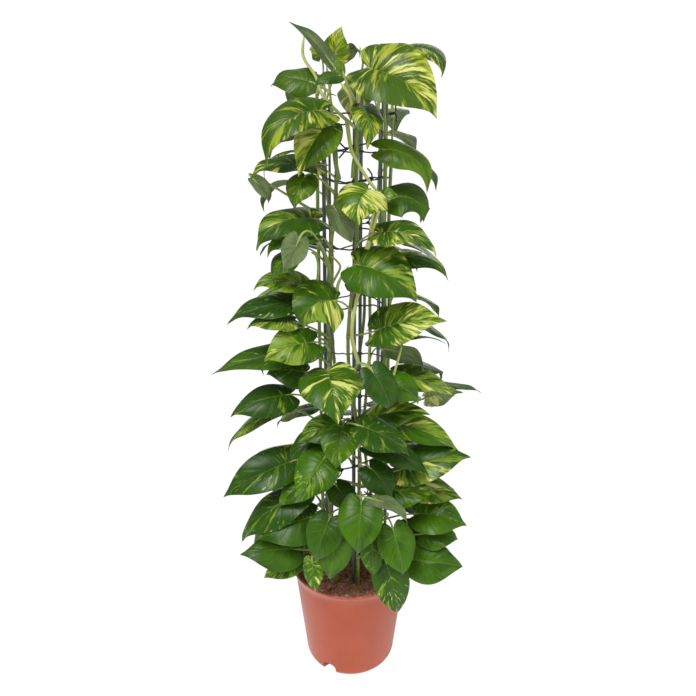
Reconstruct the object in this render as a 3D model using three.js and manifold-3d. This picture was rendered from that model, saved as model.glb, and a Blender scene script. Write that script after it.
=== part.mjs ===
// A potted pothos: climbing vines on a ring of rods, in a plastic grower's pot.
// Millimetres, +Z up. The origin is on the pot's axis, on the surface that the
// pot stands on. -Y is the front, +X the right-hand side seen from there.

import * as THREE from 'three';
import { mergeVertices } from 'three/addons/utils/BufferGeometryUtils.js';
import Module from 'manifold-3d';

const wasm = await Module();
wasm.setup();

// Pot
const POT_HEIGHT = 168;
const RIM_RADIUS = 95;
const WALL_TOP_RADIUS = 89;
const WALL_TOP = 150;
const LIP_HALFWAY = 158;
const WALL_FOOT_RADIUS = 73;
const FOOT_CORNER = 14;
const WALL = 2.4;
const INNER_CORNER = 6;
const POT_SEGMENTS = 28;

// The pot stands on a round pad and a narrow foot ring, with a drain channel
// between them that notches in the foot let out
const PAD_RADIUS = 30;
const CHANNEL_OUTER_RADIUS = 56;
const CHANNEL_HEIGHT = 20;
const CHANNEL_TAPER = 2;
const FOOT_NOTCHES = 3;
const FOOT_NOTCH_TURN = -28;
const FOOT_NOTCH_WIDTH = 24;
const FOOT_NOTCH_HEIGHT = 21;
const DRAIN_HOLES = 6;
const DRAIN_HOLE_RADIUS = 5;
const DRAIN_RING_RADIUS = 43;

// Soil
const SOIL_TOP = 154;
const SOIL_LUMP = 3;
const SOIL_RINGS = [0.8, 0.55, 0.28, 0];
const MOUND = { x: -15, y: -56, height: 8, spread: 20 };
const GAP = 0.3;
const HOLE_CLEARANCE = 0.4;

// Climbing rack: upright rods, tied round with wire
const RACK_X = 5;
const ROD_RING_RADIUS = 42;
const THICK_ROD_RADIUS = 2.7;
const THIN_ROD_RADIUS = 1.2;
const ROD_FOOT = 30;
const ROD_SIDES = 6;
const WIRE_RADIUS = 1.1;
const WIRE_STEPS = 26;
const WIRE_SIDES = 3;
const WIRE_TURN_STEP = 10;
const WIRE_END_LENGTH = 12;
const WIRE_END_TURN = 6;
const WIRE_END_TWIST = 4;
const WIRE_END_OUT = 1;
const WIRE_BEND_RISE = 25;
const UPPER_END_RISE = 30;
const LOWER_END_RISE = -40;

// Vines
const STEM_RADIUS = 2.8;
const STEM_FOOT = 90;
const STEM_SIDES = 5;
const STEM_STEP = 52;
const SWAY_FROM = STEM_FOOT + 2 * STEM_STEP;
const SWAY_SPAN = 110;
const BEND_SPAN = 46;
const BEND_TURN = 5;
const PETIOLE_RADIUS = 1.3;
const LONG_PETIOLE = 45;
const PETIOLE_PULL = 0.4;
const DROP_SHARE = 0.5;
const LEAST_DROP = 8;
const MOST_DROP = 45;
const LOWEST_JOINT = 179;
const TOP_BUD = 6;
const BLADE_THICKNESS = 0.9;

// How far a blade dips towards its edge, past the fold at its midrib
const BLADE_DIP = 0.35;

const DEGREE = Math.PI / 180;

// Rods: turn round the rack from the front, radius and top
const RODS = [
  { turn: -90, radius: THICK_ROD_RADIUS, top: 868 },
  { turn: 0, radius: THICK_ROD_RADIUS, top: 885 },
  { turn: 90, radius: THICK_ROD_RADIUS, top: 872 },
  { turn: 167, radius: THICK_ROD_RADIUS, top: 880 },
  { turn: -50, radius: THIN_ROD_RADIUS, top: 862 },
  { turn: 55, radius: THIN_ROD_RADIUS, top: 866 },
  { turn: 125, radius: THIN_ROD_RADIUS, top: 858 },
  { turn: -128, radius: THIN_ROD_RADIUS, top: 864 },
];

// Wires: height, how far each one sways up and down, and the turn of its two ends
const WIRES = [
  { height: 846, sway: 4, ends: 72 },
  { height: 804, sway: 3, ends: -12 },
  { height: 765, sway: 4, ends: 24 },
  { height: 700, sway: 3, ends: 157 },
  { height: 676, sway: 6, ends: 79 },
  { height: 592, sway: 5, ends: -22 },
  { height: 508, sway: 5, ends: 26 },
  { height: 430, sway: 4, ends: -163 },
  { height: 358, sway: 5, ends: -20 },
  { height: 312, sway: 4, ends: 26 },
];

// Vines: turn round the rack at the soil, how far each one wanders, and its top
const VINES = [
  { turn: -72, sway: 9, phase: 0.4, top: 872 },
  { turn: -32, sway: 9, phase: 2.6, top: 893 },
  { turn: 8, sway: 8, phase: 1.2, top: 905 },
  { turn: 46, sway: 8, phase: 4.4, top: 880 },
  { turn: 92, sway: 9, phase: 3.1, top: 850 },
  { turn: 138, sway: 9, phase: 5.6, top: 865 },
  { turn: 184, sway: 9, phase: 0.9, top: 890 },
  { turn: 232, sway: 9, phase: 2.2, top: 862 },
];

// Leaves that show from the front, chosen by hand one by one: where the blade
// joins its stalk, its tip, its width, the turn and rise of its upper face, how
// far its midrib arches out of the blade, how far it hooks within the blade, and
// how steeply its two halves fold up from the midrib.
const FRONT_LEAVES = [
  [[-30, -95, 520], [-15, -150, 465], 84, 0, 45, 12, 0, 0.3],
  [[21, -60, 892], [105, -85, 833], 88, 12, 14, 12, 5, 0.4],
  [[22, -85, 750], [8, -105, 706], 66, -12, 26, 10, 4, 0.2],
  [[-30, -75, 825], [-65, -95, 765], 56, -10, 20, 8, 0, 0.2],
  [[9, -75, 657], [88, -100, 613], 78, 12, 24, 12, 4, 0.3],
  [[-20, -70, 728], [3, -90, 683], 30, 172, 5, 6, 0, 0.3],
  [[-21, -85, 612], [-64, -110, 579], 78, -10, 30, 14, 8, 0.1],
  [[36, -65, 568], [126, -85, 586], 60, 15, 40, 12, 0, 0.3],
  [[15, -110, 335], [10, -140, 270], 62, 0, 35, 8, 0, 0.3],
  [[60, -105, 290], [75, -125, 227], 54, 5, 30, 8, 0, 0.15],
  [[-35, -105, 400], [-70, -130, 345], 62, -8, 35, 10, 0, 0.2],
  [[-51, -80, 555], [-116, -100, 535], 60, -15, 38, 10, 0, 0.2],
  [[-10, -100, 445], [-20, -125, 390], 52, -8, 30, 8, 0, 0.35],
  [[80, -10, 926], [121, -25, 890], 54, 38, 20, 10, 4, 0.2],
  [[-22, -45, 899], [-75, -40, 948], 22, 150, 40, 6, 0, 0.3],
  [[-21, -15, 908], [-12, -20, 949], 38, -30, 10, 4, 0, 0.2],
  [[-38, -32, 912], [-54, -38, 922], 24, -20, 35, 4, 0, 0.2],
  [[-10, -5, 915], [15, -15, 915], 30, 180, 75, 12, 0, 0.2],
  [[-10, -50, 890], [-20, -50, 905], 12, 0, 20, 2, 0, 0.2],
  [[-50, -35, 881], [-104, -22, 880], 46, -14, 34, 6, 2, 0.1],
  [[-14, -50, 892], [-45, -60, 879], 22, -10, 35, 4, 0, 0.2],
  [[-37, -55, 845], [-105, -80, 779], 62, -20, 30, 20, 8, 0.3],
  [[18, -60, 848], [21, -90, 797], 40, 12, 30, 8, 0, 0.3],
  [[42, -45, 800], [101, -60, 749], 42, 25, 34, 10, 12, 0.2],
  [[55, -45, 740], [95, -55, 710], 60, 35, 25, 10, 10, 0.1],
  [[-45, -45, 780], [-130, -60, 765], 56, -50, 62, 10, 4, 0.2],
  [[-57, -70, 766], [-72, -85, 726], 42, -15, 20, 6, 0, 0.2],
  [[-48, -55, 714], [-122, -85, 677], 64, -28, 38, 14, 6, 0.2],
  [[-50, -70, 695], [-110, -85, 670], 46, -30, 50, 8, 0, 0.3],
  [[-70, -75, 675], [-105, -85, 635], 40, -35, 30, 6, 0, 0.2],
  [[-65, -85, 690], [-85, -90, 650], 34, 165, 10, 4, 0, 0.2],
  [[-60, -65, 630], [-130, -85, 630], 48, -30, 50, 8, 0, 0.3],
  [[-71, -55, 605], [-167, -80, 583], 54, -30, 45, 8, 0, 0.3],
  [[38, -55, 697], [111, -75, 671], 56, 25, 46, 10, 4, 0.4],
  [[48, -35, 659], [134, -45, 636], 36, 50, 50, 14, 4, 0.1],
  [[50, -45, 555], [130, -55, 550], 36, 20, 85, 4, 0, 0.2],
  [[56, -60, 546], [104, -60, 519], 54, 168, 45, 6, 0, 0.3],
  [[-75, -55, 535], [-190, -75, 510], 56, -35, 50, 6, 0, 0.3],
  [[-63, -60, 507], [-118, -70, 509], 50, -20, 45, 6, 0, 0.1],
  [[-87, -60, 474], [-170, -80, 450], 56, -28, 42, 10, 0, 0.1],
  [[-105, -50, 445], [-180, -60, 390], 36, -60, 60, 10, 0, 0.2],
  [[-84, -55, 370], [-187, -75, 322], 62, -24, 34, 12, 0, 0.4],
  [[-15, -100, 450], [-75, -115, 425], 50, -10, 50, 6, 0, 0.2],
  [[25, -75, 445], [110, -90, 460], 52, 20, 58, 8, 0, 0.3],
  [[50, -75, 440], [155, -85, 400], 54, 25, 54, 10, 0, 0.4],
  [[72, -85, 373], [169, -90, 397], 60, 30, 50, 10, 0, 0.2],
  [[15, -80, 435], [80, -90, 400], 54, 18, 40, 6, 0, 0.2],
  [[30, -90, 410], [110, -100, 370], 46, 25, 50, 10, 0, 0.3],
  [[53, -75, 358], [152, -85, 348], 42, 18, 60, 8, 0, 0.4],
  [[50, -90, 340], [120, -100, 345], 50, 18, 45, 6, 0, 0.2],
  [[90, -60, 330], [165, -65, 315], 42, 30, 50, 6, 0, 0.2],
  [[100, -65, 290], [170, -80, 280], 62, 30, 45, 10, 0, 0.3],
  [[65, -65, 505], [145, -80, 480], 52, 25, 50, 8, 0, 0.3],
  [[45, -80, 500], [95, -90, 475], 50, 20, 45, 8, 0, 0.2],
  [[110, -45, 465], [160, -50, 475], 44, 172, 30, 4, 0, 0.2],
  [[120, -40, 485], [190, -45, 475], 28, 20, 88, 2, 0, 0.2],
  [[35, -110, 340], [80, -120, 310], 30, 178, 30, 8, 0, 0.2],
  [[51, -100, 234], [72, -110, 148], 54, 12, 12, 6, 0, 0.3],
  [[90, -75, 220], [170, -85, 215], 64, 25, 32, 10, 0, 0.1],
  [[80, -70, 265], [150, -80, 230], 50, 30, 40, 8, 0, 0.2],
  [[-30, -105, 305], [-50, -120, 245], 52, -10, 25, 6, 0, 0.3],
  [[-20, -110, 275], [-30, -120, 215], 50, -6, 25, 4, 0, 0.1],
  [[-80, -80, 240], [-160, -100, 245], 60, -22, 42, 8, 0, 0.2],
  [[-75, -90, 230], [-130, -100, 205], 38, -25, 40, 4, 0, 0.3],
  [[-55, -90, 300], [-135, -110, 275], 66, -20, 42, 8, 0, 0.1],
  [[-75, -60, 320], [-165, -75, 250], 60, -40, 45, 12, 0, 0.2],
  [[-55, -100, 235], [-50, -105, 185], 30, -10, 20, 3, 0, 0.2],
  [[30, -90, 260], [35, -100, 205], 34, 5, 20, 3, 0, 0.2],
  [[-65, -80, 260], [-85, -90, 230], 32, -20, 30, 3, 0, 0.2],
  [[5, -50, 610], [-10, -55, 615], 26, 180, 60, 6, 0, 0.2],
  [[35, -70, 740], [60, -75, 745], 26, 10, 40, 3, 0, 0.2],
  [[-65, -65, 565], [-95, -75, 560], 46, -15, 35, 6, 0, 0.2],
  [[30, -70, 505], [55, -80, 452], 44, 10, 40, 8, 0, 0.3],
  [[28, -75, 363], [60, -85, 322], 46, 20, 45, 8, 0, 0.2],
  [[-20, -80, 344], [2, -95, 308], 38, 10, 40, 6, 0, 0.2],
  [[-82, -55, 578], [-140, -70, 574], 44, -30, 55, 6, 0, 0.2],
  [[-123, -55, 763], [-103, -60, 733], 22, 160, 20, 6, 0, 0.4],
  [[-40, -80, 420], [-88, -95, 388], 44, -20, 40, 8, 0, 0.3],
  [[-60, -70, 345], [-105, -90, 315], 46, -25, 40, 8, 0, 0.2],
  [[110, -55, 250], [165, -60, 245], 46, 40, 40, 8, 0, 0.2],
  [[-105, -50, 285], [-150, -60, 215], 46, -40, 40, 8, 0, 0.2],
];

// Leaves round the back, which follow a rule
const BACK_SEED = 20261;
const BACK_TURN_START = 70;
const BACK_TURN_END = 290;
const BACK_LOWEST = 225;
const BACK_HIGHEST = 905;
const BACK_LEVELS = 13;
const BACK_LOW_COUNT = 5;
const BACK_HIGH_COUNT = 3;
const BACK_TRIES = 14;

// A leaf that would touch another one slides by one of these, then turns a little
const SLIDES = [0, -6, 6, -12, 12, -18, 18, -26, 26, -34, 34, -44, 44, -56];
const TURNS = [0, 14, -14, 28, -28];
const LIFTS = [0, 6, -6, 12, -12];
const VIEWER = new THREE.Vector3(0, -800, 740);
const NEAR_REACH = 11;
const BLADE_CLEARANCE = 1.8;
const STALK_CLEARANCE = 6;
const RACK_CLEARANCE = 56;
const RACK_TOP = 890;
const POT_CLEARANCE = 101;
const POT_TOP_CLEARANCE = 6;
const NEIGHBOUR_MARGIN = 20;

// A back leaf keeps behind the front ones, so that the gaps between them stay open:
// the cells are squares on an upright sheet through the pot's axis, seen by the viewer
const CELL = 8;
const HIDDEN_SHARE = 0.8;
const CORE_HALF_WIDTH = 62;
const CORE_TOP = 420;

// Half of a blade's outline from the notch to the tip: distance along the
// midrib as a share of the length, and across as a share of the half width
const OUTLINE = [
  [0, 0],
  [-0.15, 0.45],
  [0.06, 0.93],
  [0.42, 0.94],
  [0.78, 0.42],
  [1, 0],
];
const MIDRIB = [0.32, 0.66];

// Where a blade and its stalk are tested against their neighbours
const SAMPLE_ROWS = [0, 0.16, 0.32, 0.48, 0.64, 0.8, 1];
const SAMPLE_SHARES = [-1, -0.5, 0, 0.5, 1];
const STALK_SHARES = [0.15, 0.3, 0.45, 0.6, 0.75, 0.9];

// Materials
const potPlastic = new THREE.MeshStandardMaterial({ color: 0xbb6048, roughness: 0.45, metalness: 0 });
const pottingSoil = new THREE.MeshStandardMaterial({ color: 0x4a2c22, roughness: 1, metalness: 0 });
const rodCoating = new THREE.MeshStandardMaterial({ color: 0x3c4a3a, roughness: 0.5, metalness: 0 });
const wireCoating = new THREE.MeshStandardMaterial({ color: 0x14161a, roughness: 0.5, metalness: 0 });
const foliage = new THREE.MeshStandardMaterial({ color: 0x4f7f2c, roughness: 0.45, metalness: 0 });

// Solids

function solidFrom(geometry) {
  const bare = geometry.clone();
  bare.deleteAttribute('normal');
  bare.deleteAttribute('uv');
  const merged = mergeVertices(bare, 1e-4);
  return new wasm.Manifold(new wasm.Mesh({
    numProp: 3,
    vertProperties: new Float32Array(merged.attributes.position.array),
    triVerts: new Uint32Array(merged.index.array),
  }));
}

function geometryFrom(solid) {
  const mesh = solid.getMesh();
  const geometry = new THREE.BufferGeometry();
  geometry.setAttribute('position', new THREE.BufferAttribute(new Float32Array(mesh.vertProperties), 3));
  geometry.setIndex(new THREE.BufferAttribute(new Uint32Array(mesh.triVerts), 1));
  return geometry;
}

function namedMesh(name, geometry, material) {
  geometry.computeVertexNormals();
  const mesh = new THREE.Mesh(geometry, material);
  mesh.name = name;
  return mesh;
}

function roundSection(radius, sides) {
  const points = [];
  for (let i = 0; i < sides; i++) {
    const angle = 2 * Math.PI * i / sides;
    points.push(new THREE.Vector2(radius * Math.cos(angle), radius * Math.sin(angle)));
  }
  return new THREE.Shape(points);
}

function tubeAlong(curve, radius, sides, steps) {
  return new THREE.ExtrudeGeometry(roundSection(radius, sides), {
    steps,
    extrudePath: curve,
    bevelEnabled: false,
  });
}

function lathed(profile, segments) {
  const points = profile.map(([radius, height]) => new THREE.Vector2(radius, height));
  return new THREE.LatheGeometry(points, segments).rotateX(Math.PI / 2);
}

function upright(radius, low, high, sides) {
  return new THREE.CylinderGeometry(radius, radius, high - low, sides)
    .rotateX(Math.PI / 2)
    .translate(0, 0, (low + high) / 2);
}

function direction(turn, rise) {
  return new THREE.Vector3(
    Math.sin(turn * DEGREE) * Math.cos(rise * DEGREE),
    -Math.cos(turn * DEGREE) * Math.cos(rise * DEGREE),
    Math.sin(rise * DEGREE),
  );
}

function onRack(turn, radius, height) {
  const point = direction(turn, 0).multiplyScalar(radius);
  return point.add(new THREE.Vector3(RACK_X, 0, height));
}

// Seeded draws, so that the plant is the same every time
function makeRandom(seed) {
  let state = seed;
  return (low, high) => {
    state = (state * 1664525 + 1013904223) % 4294967296;
    return low + (high - low) * state / 4294967296;
  };
}

// Pot

function innerWallRadius(height) {
  const slope = (WALL_TOP_RADIUS - WALL_FOOT_RADIUS) / (WALL_TOP - FOOT_CORNER);
  return WALL_FOOT_RADIUS + (height - FOOT_CORNER) * slope - WALL;
}

// The pot's floor from its middle outwards, raised by an offset above its underside
function floorProfile(offset) {
  const roof = CHANNEL_HEIGHT + offset;
  return [
    [0, offset],
    [PAD_RADIUS - offset, offset],
    [PAD_RADIUS + CHANNEL_TAPER - offset, roof],
  ];
}

function makePot() {
  const floorTop = CHANNEL_HEIGHT + WALL;
  const profile = [
    ...floorProfile(0),
    [CHANNEL_OUTER_RADIUS - CHANNEL_TAPER, CHANNEL_HEIGHT],
    [CHANNEL_OUTER_RADIUS, 0],
    [WALL_FOOT_RADIUS - FOOT_CORNER + 1, 0],
  ];
  for (const angle of [30, 60, 90]) {
    profile.push([
      WALL_FOOT_RADIUS - FOOT_CORNER + FOOT_CORNER * Math.sin(angle * DEGREE),
      FOOT_CORNER - FOOT_CORNER * Math.cos(angle * DEGREE),
    ]);
  }
  profile.push(
    [WALL_TOP_RADIUS, WALL_TOP],
    [RIM_RADIUS - 3.5, LIP_HALFWAY],
    [RIM_RADIUS - 0.5, POT_HEIGHT - 4],
    [RIM_RADIUS, POT_HEIGHT - 2],
    [RIM_RADIUS - 1.5, POT_HEIGHT],
    [RIM_RADIUS - 3.5, POT_HEIGHT - 0.5],
    [innerWallRadius(WALL_TOP) + 1.5, LIP_HALFWAY],
    [innerWallRadius(WALL_TOP), WALL_TOP],
    [innerWallRadius(floorTop + INNER_CORNER), floorTop + INNER_CORNER],
    [innerWallRadius(floorTop) - INNER_CORNER, floorTop],
    ...floorProfile(WALL).toReversed(),
  );
  let pot = solidFrom(lathed(profile, POT_SEGMENTS));
  for (let i = 0; i < FOOT_NOTCHES; i++) {
    const notch = new THREE.BoxGeometry(FOOT_NOTCH_WIDTH, 40, FOOT_NOTCH_HEIGHT * 2)
      .translate(0, -WALL_FOOT_RADIUS, 0)
      .rotateZ((FOOT_NOTCH_TURN + 360 * i / FOOT_NOTCHES) * DEGREE);
    pot = pot.subtract(solidFrom(notch));
  }
  for (let i = 0; i < DRAIN_HOLES; i++) {
    const place = direction(360 * i / DRAIN_HOLES, 0).multiplyScalar(DRAIN_RING_RADIUS);
    const hole = upright(DRAIN_HOLE_RADIUS, CHANNEL_HEIGHT - WALL, floorTop + WALL, 8)
      .translate(place.x, place.y, 0);
    pot = pot.subtract(solidFrom(hole));
  }
  return namedMesh('pot', geometryFrom(pot), potPlastic);
}

// Soil, with a hole for each rod and each vine

function soilHeight(x, y) {
  const waves = Math.sin(x * 0.11 + 1.3) * Math.cos(y * 0.13 - 0.4);
  const ripples = Math.sin(x * 0.23 - y * 0.19);
  const fromMound = Math.hypot(x - MOUND.x, y - MOUND.y) / MOUND.spread;
  return SOIL_TOP + SOIL_LUMP * (waves + 0.6 * ripples) + MOUND.height * Math.exp(-fromMound * fromMound);
}

function holeInSoil(place, radius, foot) {
  const outer = (radius + HOLE_CLEARANCE) / Math.cos(Math.PI / ROD_SIDES);
  return upright(outer, foot - GAP, POT_HEIGHT + 20, ROD_SIDES).translate(place.x, place.y, 0);
}

function makeSoil() {
  const low = CHANNEL_HEIGHT + WALL + GAP;
  const corner = low + INNER_CORNER;
  const profile = [
    ...floorProfile(WALL + GAP),
    [innerWallRadius(low) - INNER_CORNER - GAP, low],
    [innerWallRadius(corner) - GAP, corner],
    [innerWallRadius(WALL_TOP) - GAP, WALL_TOP],
  ];
  for (const share of SOIL_RINGS) {
    profile.push([innerWallRadius(WALL_TOP) * share, SOIL_TOP]);
  }
  const body = lathed(profile, POT_SEGMENTS);
  const points = body.attributes.position;
  for (let i = 0; i < points.count; i++) {
    if (points.getZ(i) > WALL_TOP + 1) {
      points.setZ(i, soilHeight(points.getX(i), points.getY(i)));
    }
  }
  let soil = solidFrom(body);
  for (const rod of RODS) {
    const place = onRack(rod.turn, rodRingRadius(rod), 0);
    soil = soil.subtract(solidFrom(holeInSoil(place, rod.radius, ROD_FOOT)));
  }
  for (const vine of VINES) {
    const place = onRack(vineTurn(vine, STEM_FOOT), stemRingRadius(), 0);
    soil = soil.subtract(solidFrom(holeInSoil(place, STEM_RADIUS, STEM_FOOT)));
  }
  return namedMesh('soil', geometryFrom(soil), pottingSoil);
}

// Rack: rods inside, wires round them, vines outside the wires

function rodRingRadius(rod) {
  return ROD_RING_RADIUS + THICK_ROD_RADIUS - rod.radius;
}

function wireRingRadius() {
  const sag = Math.cos(Math.PI / (WIRE_STEPS - 3));
  return (ROD_RING_RADIUS + THICK_ROD_RADIUS + GAP + WIRE_RADIUS) / sag;
}

function stemRingRadius() {
  return wireRingRadius() + WIRE_RADIUS + GAP + STEM_RADIUS;
}

function makeRod(rod, index) {
  const { radius, top } = rod;
  const place = onRack(rod.turn, rodRingRadius(rod), 0);
  const profile = [
    [0, ROD_FOOT],
    [radius, ROD_FOOT],
    [radius, top - radius],
    [radius * 0.6, top],
    [0, top],
  ];
  const geometry = lathed(profile, ROD_SIDES).translate(place.x, place.y, 0);
  return namedMesh(`rod_${index + 1}`, geometry, rodCoating);
}

function wirePoint(wire, turn, out) {
  const wave = Math.sin(2 * turn * DEGREE + wire.height) + 0.5 * Math.sin(3 * turn * DEGREE);
  return onRack(turn, wireRingRadius() + out, wire.height + wire.sway * wave);
}

function makeWire(wire, index) {
  const first = wirePoint(wire, wire.ends + WIRE_END_TURN, WIRE_END_OUT);
  const last = wirePoint(wire, wire.ends - WIRE_END_TURN, WIRE_END_OUT);
  const upperEnd = direction(wire.ends - WIRE_END_TWIST, UPPER_END_RISE);
  const lowerEnd = direction(wire.ends + WIRE_END_TWIST, LOWER_END_RISE);
  const points = [
    first.clone().addScaledVector(upperEnd, WIRE_END_LENGTH),
    first.clone().addScaledVector(direction(wire.ends, WIRE_BEND_RISE), WIRE_END_LENGTH / 3),
  ];
  for (let turn = WIRE_TURN_STEP; turn < 360; turn += WIRE_TURN_STEP) {
    points.push(wirePoint(wire, wire.ends + turn, 0));
  }
  points.push(
    last.clone().addScaledVector(direction(wire.ends, -WIRE_BEND_RISE), WIRE_END_LENGTH / 3),
    last.clone().addScaledVector(lowerEnd, WIRE_END_LENGTH),
  );
  const curve = new THREE.CatmullRomCurve3(points);
  const geometry = tubeAlong(curve, WIRE_RADIUS, WIRE_SIDES, WIRE_STEPS);
  return namedMesh(`wire_${index + 1}`, geometry, wireCoating);
}

// Vines

function vineTurn(vine, height) {
  const above = Math.max(height - SWAY_FROM, 0);
  const sway = Math.sin(above / SWAY_SPAN + vine.phase) - Math.sin(vine.phase);
  const bend = Math.sin(above / BEND_SPAN + 3 * vine.phase) - Math.sin(3 * vine.phase);
  return vine.turn + vine.sway * sway + BEND_TURN * bend;
}

function vinePoint(vine, height) {
  return onRack(vineTurn(vine, height), stemRingRadius(), height);
}

function nearestVine(point) {
  const turn = Math.atan2(point.x - RACK_X, -point.y) / DEGREE;
  let best = null;
  let least = Infinity;
  for (const vine of VINES) {
    const apart = Math.abs(((vineTurn(vine, point.z) - turn) % 360 + 540) % 360 - 180);
    if (apart < least) {
      least = apart;
      best = vine;
    }
  }
  return best;
}

// Leaves

function makeLeaf([base, tip, width, turn, rise, arch, hook, fold]) {
  return {
    base: new THREE.Vector3(...base),
    tip: new THREE.Vector3(...tip),
    width,
    turn,
    rise,
    arch,
    hook,
    fold,
  };
}

function frameOf(leaf) {
  const along = leaf.tip.clone().sub(leaf.base);
  const length = along.length();
  along.normalize();
  const face = direction(leaf.turn, leaf.rise);
  const up = face.addScaledVector(along, -face.dot(along)).normalize();
  const across = new THREE.Vector3().crossVectors(up, along);
  const high = across.z < 0 ? -1 : 1;
  return { ...leaf, length, along, up, across, high };
}

// A point of the blade's middle surface, u from base to tip and v from the
// midrib (0) to either edge (1, -1) of the widest part, with its normal
function bladePoint(frame, u, v) {
  const { base, along, up, across, high, length, width } = frame;
  const bow = 4 * u * (1 - u);
  const slope = 4 * (1 - 2 * u) / length;
  const rising = frame.arch * slope;
  const swaying = frame.hook * slope * high;
  const normal = up.clone().addScaledVector(along, -rising).normalize();
  const side = across.clone().addScaledVector(along, -swaying).normalize();
  const x = v * width / 2;
  const lift = frame.fold * Math.abs(x) - BLADE_DIP * x * x / (width / 2);
  const point = base.clone()
    .addScaledVector(along, length * u)
    .addScaledVector(up, frame.arch * bow)
    .addScaledVector(across, high * frame.hook * bow)
    .addScaledVector(side, x)
    .addScaledVector(normal, lift);
  return { point, normal };
}

function halfWidthAt(u) {
  for (let i = 2; i < OUTLINE.length; i++) {
    const [u0, v0] = OUTLINE[i - 1];
    const [u1, v1] = OUTLINE[i];
    if (u <= u1) {
      return v0 + (v1 - v0) * (u - u0) / (u1 - u0);
    }
  }
  return 0;
}

function samplesOf(frame) {
  const [lobeU, lobeV] = OUTLINE[1];
  const samples = [bladePoint(frame, lobeU, lobeV), bladePoint(frame, lobeU, -lobeV)];
  for (const u of SAMPLE_ROWS) {
    for (const share of SAMPLE_SHARES) {
      samples.push(bladePoint(frame, u, share * halfWidthAt(u)));
    }
  }
  return samples;
}

function petioleCurve(leaf) {
  const vine = nearestVine(leaf.base);
  const reach = Math.hypot(leaf.base.x - RACK_X, leaf.base.y) - stemRingRadius();
  const drop = Math.min(Math.max(DROP_SHARE * reach, LEAST_DROP), MOST_DROP);
  const joint = Math.min(Math.max(leaf.base.z - drop, LOWEST_JOINT), vine.top - TOP_BUD);
  const start = vinePoint(vine, joint);
  const span = leaf.base.distanceTo(start);
  const frame = frameOf(leaf);
  const ahead = bladePoint(frame, 0.1, 0).point;
  const back = leaf.base.clone().sub(ahead).normalize();
  const middle = leaf.base.clone().addScaledVector(back, PETIOLE_PULL * span);
  return { vine, curve: new THREE.QuadraticBezierCurve3(start, middle, leaf.base.clone()) };
}

// Two blades cross where one has points close above and close below the other
function heightsOver(points, samples) {
  const heights = [];
  for (const { point } of points) {
    let nearest = null;
    let least = NEAR_REACH * NEAR_REACH;
    for (const sample of samples) {
      const distance = point.distanceToSquared(sample.point);
      if (distance < least) {
        least = distance;
        nearest = sample;
      }
    }
    if (nearest) {
      heights.push(point.clone().sub(nearest.point).dot(nearest.normal));
    }
  }
  return heights;
}

function staysOneSide(heights) {
  return heights.every((height) => height > BLADE_CLEARANCE)
    || heights.every((height) => height < -BLADE_CLEARANCE);
}

function stalksApart(first, second) {
  return first.every((a) => second.every((b) => a.point.distanceTo(b.point) > STALK_CLEARANCE));
}

function isClear(candidate, placed) {
  for (const { point } of candidate.samples) {
    const fromRack = Math.hypot(point.x - RACK_X, point.y);
    if (point.z < RACK_TOP && fromRack < RACK_CLEARANCE) {
      return false;
    }
    if (point.z < POT_HEIGHT + POT_TOP_CLEARANCE && Math.hypot(point.x, point.y) < POT_CLEARANCE) {
      return false;
    }
  }
  for (const other of placed) {
    const apart = candidate.centre.distanceTo(other.centre);
    if (apart > candidate.reach + other.reach + NEIGHBOUR_MARGIN) {
      continue;
    }
    const clear = staysOneSide(heightsOver(candidate.samples, other.samples))
      && staysOneSide(heightsOver(other.samples, candidate.samples))
      && staysOneSide(heightsOver(candidate.stalk, other.samples))
      && staysOneSide(heightsOver(other.stalk, candidate.samples))
      && (candidate.vine === other.vine || stalksApart(candidate.stalk, other.stalk));
    if (!clear) {
      return false;
    }
  }
  return true;
}

function candidateFrom(leaf) {
  const samples = samplesOf(frameOf(leaf));
  const { vine, curve } = petioleCurve(leaf);
  const stalk = [];
  for (const share of STALK_SHARES) {
    stalk.push({ point: curve.getPoint(share) });
  }
  const centre = leaf.base.clone().lerp(leaf.tip, 0.4);
  const reach = leaf.base.distanceTo(leaf.tip) * 0.65;
  return { leaf, samples, vine, curve, stalk, centre, reach };
}

function placeClear(leaf, way, placed) {
  for (const lift of LIFTS) {
    for (const turn of TURNS) {
      for (const slide of SLIDES) {
        const shift = new THREE.Vector3(0, 0, lift).addScaledVector(way, slide);
        const moved = {
          ...leaf,
          base: leaf.base.clone().add(shift),
          tip: leaf.tip.clone().add(shift),
          turn: leaf.turn + turn,
        };
        const candidate = candidateFrom(moved);
        if (isClear(candidate, placed)) {
          return candidate;
        }
      }
    }
  }
  return null;
}

// A front leaf slides nearer or farther as seen from the front, so that the
// front view stays as it was chosen
function placeFrontLeaves(placed) {
  for (const row of FRONT_LEAVES) {
    const leaf = makeLeaf(row);
    const way = leaf.base.clone().sub(VIEWER).normalize();
    const found = placeClear(leaf, way, placed);
    if (found) {
      placed.push(found);
    }
  }
}

function cellOf(point) {
  const share = VIEWER.y / (VIEWER.y - point.y);
  const x = VIEWER.x + (point.x - VIEWER.x) * share;
  const z = VIEWER.z + (point.z - VIEWER.z) * share;
  return [Math.floor(x / CELL), Math.floor(z / CELL)];
}

function cellsHiddenBy(leaves) {
  const cells = new Set();
  for (const { leaf } of leaves) {
    const frame = frameOf(leaf);
    for (let u = 0; u < 1; u += 0.06) {
      for (let share = -1; share < 1.05; share += 0.1) {
        const [column, row] = cellOf(bladePoint(frame, u, share * halfWidthAt(u)).point);
        for (const [right, up] of [[0, 0], [1, 0], [-1, 0], [0, 1], [0, -1]]) {
          cells.add(`${column + right},${row + up}`);
        }
      }
    }
  }
  return cells;
}

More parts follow.
